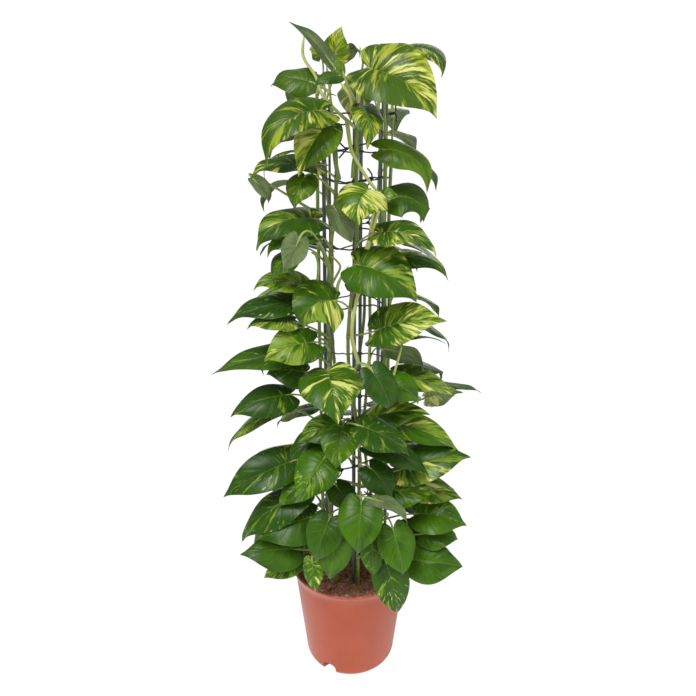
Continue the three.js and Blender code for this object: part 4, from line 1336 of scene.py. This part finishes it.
def draw_back_leaf(random, level, share):
    turn = BACK_TURN_START + (BACK_TURN_END - BACK_TURN_START) * share
    climb = (level + random(-BACK_LEVEL_SPREAD, BACK_LEVEL_SPREAD)) / (BACK_LEVELS - 1)
    height = BACK_LOWEST + (BACK_HIGHEST - BACK_LOWEST) * climb
    length = random(*BACK_LENGTHS) - BACK_SHORTENING * climb
    base = on_rack(turn, random(*BACK_REACHES), height)
    tip_turn = turn + random(-BACK_TIP_SWING, BACK_TIP_SWING)
    tip = base + direction(tip_turn, random(*BACK_TIP_RISES)) * length
    width = length * random(*BACK_WIDTHS)
    form = [random(*span) for span in (BACK_RISES, BACK_ARCHES, BACK_HOOKS, BACK_FOLDS)]
    return make_leaf(base, tip, width, tip_turn, *form, "plain")


def place_back_leaves(placed):
    random = make_random(BACK_SEED)
    cells = cells_hidden_by(placed)
    for level in range(BACK_LEVELS):
        fewer = (BACK_LOW_COUNT - BACK_HIGH_COUNT) * level / (BACK_LEVELS - 1)
        count = math.floor(BACK_LOW_COUNT - fewer + 0.5)
        for k in range(count):
            for _attempt in range(BACK_TRIES):
                share = (k + random(0, 1)) / count
                new = candidate_from(draw_back_leaf(random, level, share))
                if is_hidden(new, cells) and is_clear(new, placed):
                    new.leaf.look = BACK_LOOKS[(level * 3 + k) % len(BACK_LOOKS)]
                    placed.append(new)
                    break


# Fine leaves

def blade_grid():
    """Places on the blade, row by row from the notch to the tip and column by column
    from edge to edge, with each row's share and each column's signed share."""
    rows = np.linspace(0, 1, BLADE_ROWS + 1)
    outline = smooth_curve([(u, v, 0) for u, v in FINE_OUTLINE], 40)
    outline_shares = np.linspace(0, 1, len(outline))
    edge_u = np.interp(rows, outline_shares, outline[:, 0])
    edge_v = np.interp(rows, outline_shares, outline[:, 1])
    station = rows ** VEIN_LEAD
    right = np.array(COLUMN_SHARES)
    columns = np.concatenate([-right[:0:-1], right])
    reach = np.abs(columns)
    spread = np.sin(VEIN_CURVE * reach * math.pi / 2) / math.sin(VEIN_CURVE * math.pi / 2)
    u = station[:, None] + (edge_u - station)[:, None] * reach
    v = edge_v[:, None] * (spread * np.sign(columns))
    return u, v, rows, columns


GRID_U, GRID_V, GRID_ROWS, GRID_COLUMNS = blade_grid()
GRID_ROW = GRID_ROWS[:, None]
GRID_SIDE = np.sign(GRID_COLUMNS)[None, :]
GRID_REACH = np.abs(GRID_COLUMNS)[None, :]


def sheet_faces(rows, columns):
    """Faces of a closed sheet: a grid whose first and last rows are single points, its
    upper side, its lower side and the rim between them."""
    inner = rows - 2
    half = inner * columns + 2

    def at(row, column, lower):
        if row == 0:
            return lower * half
        if row == rows - 1:
            return lower * half + half - 1
        return lower * half + 1 + (row - 1) * columns + column

    faces = []
    for lower in (0, 1):
        for i in range(rows - 1):
            for j in range(columns - 1):
                left, right = (i, j), (i, j + 1)
                lower_left, lower_right = (i + 1, j), (i + 1, j + 1)
                corners = [at(*place, lower) for place in (left, lower_left, lower_right, right)]
                corners = list(dict.fromkeys(corners))
                faces.append(tuple(corners[::-1] if lower else corners))
    for column, turned in ((0, False), (columns - 1, True)):
        for i in range(rows - 1):
            corners = [at(i, column, 0), at(i, column, 1), at(i + 1, column, 1), at(i + 1, column, 0)]
            faces.append(tuple(corners[::-1] if turned else corners))
    return faces


SHEET_FACES = sheet_faces(len(GRID_ROWS), len(GRID_COLUMNS))


def flat_rows(grid):
    """The grid's points in one list, with its first and last rows as single points."""
    middle = len(GRID_COLUMNS) // 2
    inner = grid[1:-1].reshape(-1, grid.shape[-1])
    return np.concatenate([grid[0, middle][None], inner, grid[-1, middle][None]])


def look_of(leaf, axes, random):
    """Shares of cream, lime and flecks over the blade, and its shade, from its look's words.
    A second kind of look is that of the half which the first one leaves."""
    words = leaf.look.split()
    kinds = [LOOKS[word] for word in words if word in LOOKS]
    rightward = 1 if axes.across[0] > 0 else -1
    favoured = {"upper": axes.high, "lower": -axes.high, "right": rightward, "left": -rightward}
    weight = np.ones_like(GRID_U)
    shade = 0.5 + random(-0.25, 0.25)
    for word in words:
        if word in favoured:
            chosen = GRID_SIDE == favoured[word]
            weight = weight * np.where(chosen, STRONG_SIDE, WEAK_SIDE)
        if word == "tip":
            weight = weight * (WEAK_SIDE + (STRONG_SIDE - WEAK_SIDE) * np.clip(GRID_U / 0.55, 0, 1))
        # dark and bright set a green that is partly the leaf's own tone and partly painted: painted
        # light
        # on leaves in the shade of others, painted shade on leaves deep inside
        if word in TONES_AND_PAINTED_LIGHT:
            shade = TONES_AND_PAINTED_LIGHT[word] + random(-0.05, 0.05)
    shade = min(max(shade, 0), 1)
    if len(kinds) == 2:
        return [np.where(chosen, share, other) for share, other in zip(*kinds)], shade
    return [np.clip(share * weight, 0, 1) for share in kinds[0]], shade


def edge_waves(leaf, random):
    """Waves that grow towards each edge of a blade, and end at its notch and tip."""
    waves = np.zeros_like(GRID_U)
    for side in (-1, 1):
        count, phase = random(2.2, 3.6), random(0, 2 * math.pi)
        wave = np.sin(2 * math.pi * count * GRID_ROW + phase) * GRID_REACH ** 2.5
        waves += np.where(GRID_SIDE == side, wave, 0)
    return waves * (leaf.width * WAVE_SHARE * random(0.6, 1.4) * np.sin(math.pi * GRID_ROW))


def blade_relief(leaf, random):
    """How far a fine blade rises over its plain form: quilting between the side veins,
    waves, a cup in each half, a twist, and a tip that droops."""
    quilt = np.sin(math.pi * SIDE_VEINS * GRID_ROW) ** 2 * np.sin(math.pi * GRID_REACH) * QUILTING
    waves = edge_waves(leaf, random)
    cup_right, cup_left = random(-CUP_SHARE, CUP_SHARE), random(-CUP_SHARE, CUP_SHARE)
    cup = np.where(GRID_SIDE > 0, cup_right, cup_left) * np.abs(GRID_V) * leaf.width / 2
    twist = math.tan(math.radians(random(-TWIST, TWIST))) * GRID_V * leaf.width / 2 * GRID_U
    past = np.clip(GRID_U - DROOP_FROM, 0, 1) / (1 - DROOP_FROM)
    return quilt + waves + cup + twist - TIP_DROOP * random(0.2, 1.3) * past ** 2


def grid_values(first, second, third):
    """One attribute for the grid's points, from three grids or numbers."""
    values = [np.broadcast_to(value, GRID_U.shape) for value in (first, second, third)]
    return flat_rows(np.stack(values, axis=-1))


def add_blade(parts, item, random, seed):
    """One blade: the plain form with relief of its own, and what its finish reads."""
    leaf, axes = item.leaf, item.axes
    points, normals = blade_points(leaf, axes, GRID_U, GRID_V)
    relief = blade_relief(leaf, random)
    half = BLADE_THICKNESS / 2 * np.where(GRID_REACH == 1, EDGE_THINNESS, 1)
    groove = np.where(GRID_REACH == 0, GROOVE, 0)
    rib_share = np.where(GRID_REACH == 0, 1.0, np.where(GRID_REACH < 0.05, 0.35, 0.0))
    rib = RIB_HEIGHT * np.clip(1 - GRID_U, 0.08, 1) ** 0.8 * rib_share
    upper = points + normals * (relief + half - groove)[..., None]
    lower = points + normals * (relief - half - rib)[..., None]

    (cream, lime, fleck), shade = look_of(leaf, axes, random)
    vein = grid_values(GRID_ROW, GRID_COLUMNS, np.abs(GRID_V) * leaf.width / 2)
    habit = grid_values(cream, lime, seed * 3.17)
    warmth = min(max((leaf.base[2] - OLIVE_FROM) / OLIVE_SPAN + random(-0.15, 0.15), 0), 1)
    parts.add(
        np.concatenate([flat_rows(upper), flat_rows(lower)]), SHEET_FACES, BLADE_SLOT,
        vein=np.concatenate([vein, vein]),
        habit=np.concatenate([habit, habit]),
        tone=np.concatenate([grid_values(shade, under, fleck) for under in (0, 1)]),
        mark=(warmth, 0, 0),
    )


def tube_values(path, sides, rings):
    """The vein attribute of a tube: distance along it, angle round it, and nearness to a ring."""
    steps = np.linalg.norm(np.diff(path, axis=0), axis=1)
    along = np.concatenate([[0], np.cumsum(steps)])
    angle = np.cos(np.arange(sides) * 2 * math.pi / sides)
    values = []
    for k in range(len(path)):
        for i in range(sides):
            values.append((along[k], angle[i], rings[k]))
    values += [(along[0], 0, rings[0]), (along[-1], 0, rings[-1])]
    return np.array(values)


def add_tube(parts, path, radii, sides, slot, shade, side=None, wide=None, rings=None, yellow=0):
    """Adds a stalk, stem or root with what its finish reads: shade, rings and yellowness."""
    rings = np.zeros(len(path)) if rings is None else rings
    points, faces = tube(path, radii, sides, side, wide)
    parts.add(points, faces, slot, vein=tube_values(path, sides, rings), tone=(shade, yellow, 0))


def add_stalk(parts, item, random):
    """A leaf stalk: sheathed at its foot, with a knee at the blade, running out under it."""
    shares = np.linspace(0, 1, 15)
    path = on_route(item.route, shares)
    under, normals = blade_points(item.leaf, item.axes, END_SHARES, np.zeros(len(END_SHARES)))
    path = np.concatenate([path, under - normals * np.array(END_DEPTHS)[:, None]])
    sheath = SHEATH_SWELL * np.exp(-shares / 0.12)
    knee = KNEE_SWELL * np.exp(-((shares - KNEE_SHARE) / 0.06) ** 2)
    radii = np.concatenate([STALK_RADIUS + sheath + knee, END_RADII])
    flat = np.clip(1 - shares / 0.7, 0, 1)
    wide = np.concatenate([1 + 0.55 * flat, np.ones(len(END_SHARES))])
    add_tube(parts, path, radii, 8, STALK_SLOT, random(0.45, 1), item.axes.across, wide)


def add_stem(parts, vine, joints, random):
    """A stem with a ring at each joint, and a rolled young leaf at its top."""
    top = vine[3]
    heights = np.arange(STEM_FOOT, top, float(STEM_STEP))
    path = np.array([vine_point(vine, height) for height in heights])
    nearness = np.zeros(len(heights))
    for joint in joints:
        nearness = np.maximum(nearness, np.exp(-((heights - joint) / RING_REACH) ** 2))
    slim = np.clip((top - heights) / STEM_TAPER, 0.55, 1)
    radii = (STEM_RADIUS - 0.35) * slim + RING_SWELL * nearness
    add_tube(parts, path, radii, 10, STALK_SLOT, random(0.0, 0.5), rings=nearness * 0.6)
    add_bud(parts, path[-1], random)


def add_bud(parts, foot, random):
    lean = direction(random(0, 360), random(60, 80))
    length = random(11, 17)
    shares = np.linspace(0, 1, 9)
    path = [foot + lean * length * s + np.array([0, 0, 3]) * s * s for s in shares]
    add_tube(parts, np.array(path), 1.7 * (1 - shares) ** 0.7 + 0.15, 8, STALK_SLOT, 1.0)


def add_shoot(parts, shoot):
    """A stalk or sheath along listed points."""
    radius, flat, shade, yellow, points = shoot
    path = smooth_curve(points, 5)
    shares = np.linspace(0, 1, len(path))
    radii = radius * (1 - 0.25 * shares - 0.5 * np.clip(shares - 0.9, 0, 1) / 0.1)
    add_tube(parts, path, radii, 10, STALK_SLOT, shade, (1, 0, 0), flat, yellow=yellow)


def add_aerial_root(parts, vine, joint, random):
    """A short brown root at a joint, turned in towards the rack."""
    start = vine_point(vine, joint)
    heading = direction(vine_turn(vine, joint) + random(110, 250), random(-40, 10))
    length = random(4, 9)
    path = [start + heading * length * s + np.array([0, 0, -1.5]) * s * s for s in np.linspace(0, 1, 5)]
    add_tube(parts, np.array(path), np.linspace(1.0, 0.35, 5), 6, ROOT_SLOT, 0)


def vine_piece(index, vine, leaves, materials):
    parts = Parts(("vein", "habit", "tone", "mark"))
    random = make_random(FINISH_SEED + 113 * index)
    for number, item in enumerate(leaves):
        add_blade(parts, item, random, 40 * index + number)
        add_stalk(parts, item, random)
    joints = sorted(item.joint for item in leaves)
    add_stem(parts, vine, joints, random)
    for joint in joints:
        add_aerial_root(parts, vine, joint - 2, random)
    for shoot in SHOOTS:
        if nearest_vine(np.array(shoot[-1][0], float)) is vine:
            add_shoot(parts, shoot)
    piece = parts.piece(f"leafy_vine_{index}", materials)
    smooth_by_angle(piece, 60)
    return piece


# Settings, operators and panel

def colour(name, description, default):
    return bpy.props.FloatVectorProperty(
        name=name, description=description, subtype="COLOR", size=3, min=0, max=1, default=default)


class PotSettings(bpy.types.PropertyGroup):
    plastic: colour("Plastic", "Main colour of the pot", (0.35, 0.061, 0.023))
    plastic_pale: colour("Paler plastic", "Colour of the pot's paler clouds", (0.39, 0.072, 0.03))
    scuff: colour("Scuffs", "Colour of scuffs and dust", (0.6, 0.3, 0.22))


class SoilSettings(bpy.types.PropertyGroup):
    peat: colour("Peat", "Colour of moist peat", (0.19, 0.066, 0.036))
    peat_pale: colour("Paler peat", "Colour of drier peat", (0.47, 0.2, 0.115))
    peat_damp: colour("Damp peat", "Colour of the wettest peat", (0.07, 0.024, 0.017))
    bark: colour("Bark", "Colour of bark and fibre", (0.56, 0.36, 0.27))


class RackSettings(bpy.types.PropertyGroup):
    rod: colour("Rod", "Colour of the rods' coating", (0.035, 0.055, 0.035))
    rod_pale: colour("Paler rod", "Colour of paler streaks on the rods", (0.12, 0.15, 0.11))
    rod_moss: colour("Moss", "Colour of moss-coloured patches", (0.07, 0.11, 0.03))
    wire: colour("Wire", "Colour of the wire's coating", (0.005, 0.006, 0.008))
    wire_dusty: colour("Dusty wire", "Colour of dust on the wire", (0.022, 0.022, 0.026))


class LeafSettings(bpy.types.PropertyGroup):
    # Dark and bright green are the ends of each blade's shade: partly the leaf's own tone, partly
    # painted shade and painted light
    green_dark: colour("Dark green", "Green of an old leaf", (0.022, 0.066, 0.005))
    green_bright: colour("Bright green", "Green of a young leaf", (0.056, 0.145, 0.003))
    green_olive: colour("Olive green", "Green of the leaves at the top", (0.125, 0.21, 0.012))
    green_deep: colour("Deep green", "Darkest patches of a leaf", (0.012, 0.045, 0.003))
    fleck: colour("Flecks", "Small pale flecks", (0.42, 0.54, 0.22))
    lime: colour("Lime", "Yellow-green patches", (0.2, 0.3, 0.025))
    lime_warm: colour("Warm lime", "Yellower patches", (0.36, 0.42, 0.035))
    cream: colour("Cream", "Palest patches", (0.6, 0.62, 0.16))
    midrib: colour("Midrib", "Midrib and side veins", (0.24, 0.34, 0.07))
    under: colour("Underside", "Green of the underside", (0.085, 0.13, 0.04))
    under_pale: colour("Paler underside", "Pale green of the underside", (0.17, 0.22, 0.095))
    stem: colour("Stem", "Olive of the stems", (0.17, 0.23, 0.035))
    stalk: colour("Stalk", "Lime of the leaf stalks", (0.36, 0.44, 0.12))
    stalk_yellow: colour("Yellow stalk", "Cream of the palest stalks", (0.68, 0.66, 0.2))
    root: colour("Root", "Brown of aerial roots and rings", (0.09, 0.05, 0.022))
    root_pale: colour("Paler root", "Pale brown of aerial roots", (0.26, 0.17, 0.09))


class StageSettings(bpy.types.PropertyGroup):
    lens: bpy.props.FloatProperty(
        name="Lens", description="Focal length of the camera, in millimetres", default=CAMERA_LENS)
    sky: bpy.props.FloatProperty(
        name="Sky light", description="Strength of the even light from all round", default=0.32, min=0)
    key: bpy.props.FloatProperty(
        name="Key light", description="Strength of the soft light from the front left",
        default=2.5, min=0)


class POTHOS_OT_pot(bpy.types.Operator):
    """Builds the pot with its rounded lip, foot notches and drain holes"""

    bl_idname = "pothos.pot"
    bl_label = "Pot"

    def execute(self, context):
        pot = spun("grower_pot", pot_profile(), POT_STEPS)
        bpy.ops.object.select_all(action="DESELECT")
        cutters = [notch_cutter(FOOT_NOTCH_TURN + 360 * i / FOOT_NOTCHES) for i in range(FOOT_NOTCHES)]
        cutters += [drain_cutter(360 * i / DRAIN_HOLES) for i in range(DRAIN_HOLES)]
        cut_away(pot, cutters)
        smooth_by_angle(pot, 38)
        pot.data.materials.append(pot_finish(context.scene.pothos_pot))
        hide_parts("pot")
        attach(pot, "root")
        return {"FINISHED"}


class POTHOS_OT_soil(bpy.types.Operator):
    """Builds the soil with its clods, bark and fibres"""

    bl_idname = "pothos.soil"
    bl_label = "Soil"

    def execute(self, context):
        material = soil_finish(context.scene.pothos_soil)
        soil = soil_body()
        smooth_by_angle(soil, 70)
        soil.data.materials.append(material)
        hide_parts("soil")
        for piece in (soil, soil_crumbs([material])):
            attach(piece, "root")
        return {"FINISHED"}


class POTHOS_OT_rods(bpy.types.Operator):
    """Builds the rack's upright rods"""

    bl_idname = "pothos.rods"
    bl_label = "Rods"

    def execute(self, context):
        material = rod_finish(context.scene.pothos_rack)
        for index, (turn, radius, top) in enumerate(RODS, 1):
            rod = rod_piece(index, turn, radius, top, material)
            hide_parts(f"rod_{index}")
            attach(rod, "root")
        return {"FINISHED"}


class POTHOS_OT_wires(bpy.types.Operator):
    """Builds the tying wires with their twisted ends"""

    bl_idname = "pothos.wires"
    bl_label = "Tying wires"

    def execute(self, context):
        material = wire_finish(context.scene.pothos_rack)
        for index, wire in enumerate(WIRES, 1):
            piece = wire_piece(index, wire, material)
            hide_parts(f"wire_{index}")
            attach(piece, "root")
        return {"FINISHED"}


class POTHOS_OT_vines(bpy.types.Operator):
    """Builds the climbing stems with their stalks, leaves and aerial roots"""

    bl_idname = "pothos.vines"
    bl_label = "Leafy vines"

    def execute(self, context):
        settings = context.scene.pothos_leaf
        materials = [blade_finish(settings), stalk_finish(settings), root_finish(settings)]
        placed = []
        place_front_leaves(placed)
        place_back_leaves(placed)
        for index, vine in enumerate(VINES, 1):
            leaves = [item for item in placed if item.vine is vine]
            piece = vine_piece(index, vine, leaves, materials)
            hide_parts(f"vine_{index}")
            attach(piece, "root")
        return {"FINISHED"}


def stage_floor():
    bpy.ops.object.select_all(action="DESELECT")
    bpy.ops.mesh.primitive_plane_add(size=FLOOR_SIZE, location=(0, 0, 0))
    floor = bpy.context.object
    floor.name = "studio_floor"
    finish = Finish("pale_floor", roughness=0.9, specular=0.1)
    seen = finish.add("ShaderNodeLightPath", {}).outputs["Is Camera Ray"]
    finish.set("Base Color", finish.mix(seen, (0.85, 0.85, 0.85), (0, 0, 0)))
    finish.set("Emission Color", (1, 1, 1))
    finish.set("Emission Strength", finish.fade(seen, 0, 1, FLOOR_GLOW, WHITE))
    floor.data.materials.append(finish.material)


def sun(name, strength, size, turn, rise):
    """A soft light that comes from that turn round the plant and that height."""
    data = bpy.data.lights.new(name, "SUN")
    data.energy = strength
    data.angle = math.radians(size)
    lamp = add_object(name, data)
    lamp.rotation_euler = Vector(direction(turn, rise)).to_track_quat("Z", "Y").to_euler()


def white_world(strength):
    """White behind the plant, with less light from it than it shows."""
    world = bpy.data.worlds.new("studio_white")
    world.use_nodes = True
    tree = world.node_tree
    tree.nodes.clear()
    path = tree.nodes.new("ShaderNodeLightPath")
    level = tree.nodes.new("ShaderNodeMapRange")
    level.inputs["To Min"].default_value = strength
    level.inputs["To Max"].default_value = WHITE
    background = tree.nodes.new("ShaderNodeBackground")
    background.inputs["Color"].default_value = (1, 1, 1, 1)
    output = tree.nodes.new("ShaderNodeOutputWorld")
    tree.links.new(path.outputs["Is Camera Ray"], level.inputs["Value"])
    tree.links.new(level.outputs["Result"], background.inputs["Strength"])
    tree.links.new(background.outputs["Background"], output.inputs["Surface"])
    bpy.context.scene.world = world


def add_camera(lens):
    data = bpy.data.cameras.new("photo_camera")
    data.sensor_width = 36
    data.lens = lens
    camera = add_object("photo_camera", data)
    camera.location = Vector(CAMERA_PLACE) * MM
    camera.rotation_euler = (math.radians(CAMERA_PITCH), 0, math.radians(CAMERA_TURN))
    bpy.context.scene.camera = camera


class POTHOS_OT_stage(bpy.types.Operator):
    """Builds the pale floor, soft lights and camera"""

    bl_idname = "pothos.stage"
    bl_label = "Stage"

    def execute(self, context):
        settings = context.scene.pothos_stage
        context.scene.view_settings.view_transform = "Standard"
        context.scene.view_settings.look = "None"
        stage_floor()
        white_world(settings.sky)
        for name, (share, size, turn, rise) in LIGHTS.items():
            sun(name, settings.key * share, size, turn, rise)
        add_camera(settings.lens)
        return {"FINISHED"}


OPERATORS = (
    POTHOS_OT_pot,
    POTHOS_OT_soil,
    POTHOS_OT_rods,
    POTHOS_OT_wires,
    POTHOS_OT_vines,
    POTHOS_OT_stage,
)


GROUPS = {
    "pothos_pot": PotSettings,
    "pothos_soil": SoilSettings,
    "pothos_rack": RackSettings,
    "pothos_leaf": LeafSettings,
    "pothos_stage": StageSettings,
}


class POTHOS_PT_panel(bpy.types.Panel):
    bl_label = "Potted pothos"
    bl_idname = "POTHOS_PT_panel"
    bl_space_type = "VIEW_3D"
    bl_region_type = "UI"
    bl_category = "Pothos"

    def draw(self, context):
        for operator in OPERATORS:
            self.layout.operator(operator.bl_idname)
        for group in GROUPS:
            settings = getattr(context.scene, group)
            box = self.layout.box()
            for name in settings.__annotations__:
                box.prop(settings, name)


CLASSES = (*GROUPS.values(), *OPERATORS, POTHOS_PT_panel)


def register():
    for registered in CLASSES:
        bpy.utils.register_class(registered)
    for name, group in GROUPS.items():
        setattr(bpy.types.Scene, name, bpy.props.PointerProperty(type=group))


def unregister():
    for name in GROUPS:
        delattr(bpy.types.Scene, name)
    for registered in reversed(CLASSES):
        bpy.utils.unregister_class(registered)


def main():
    register()
    bpy.ops.pothos.pot()
    bpy.ops.pothos.soil()
    bpy.ops.pothos.rods()
    bpy.ops.pothos.wires()
    bpy.ops.pothos.vines()
    bpy.ops.pothos.stage()


if __name__ == "__main__":
    main()
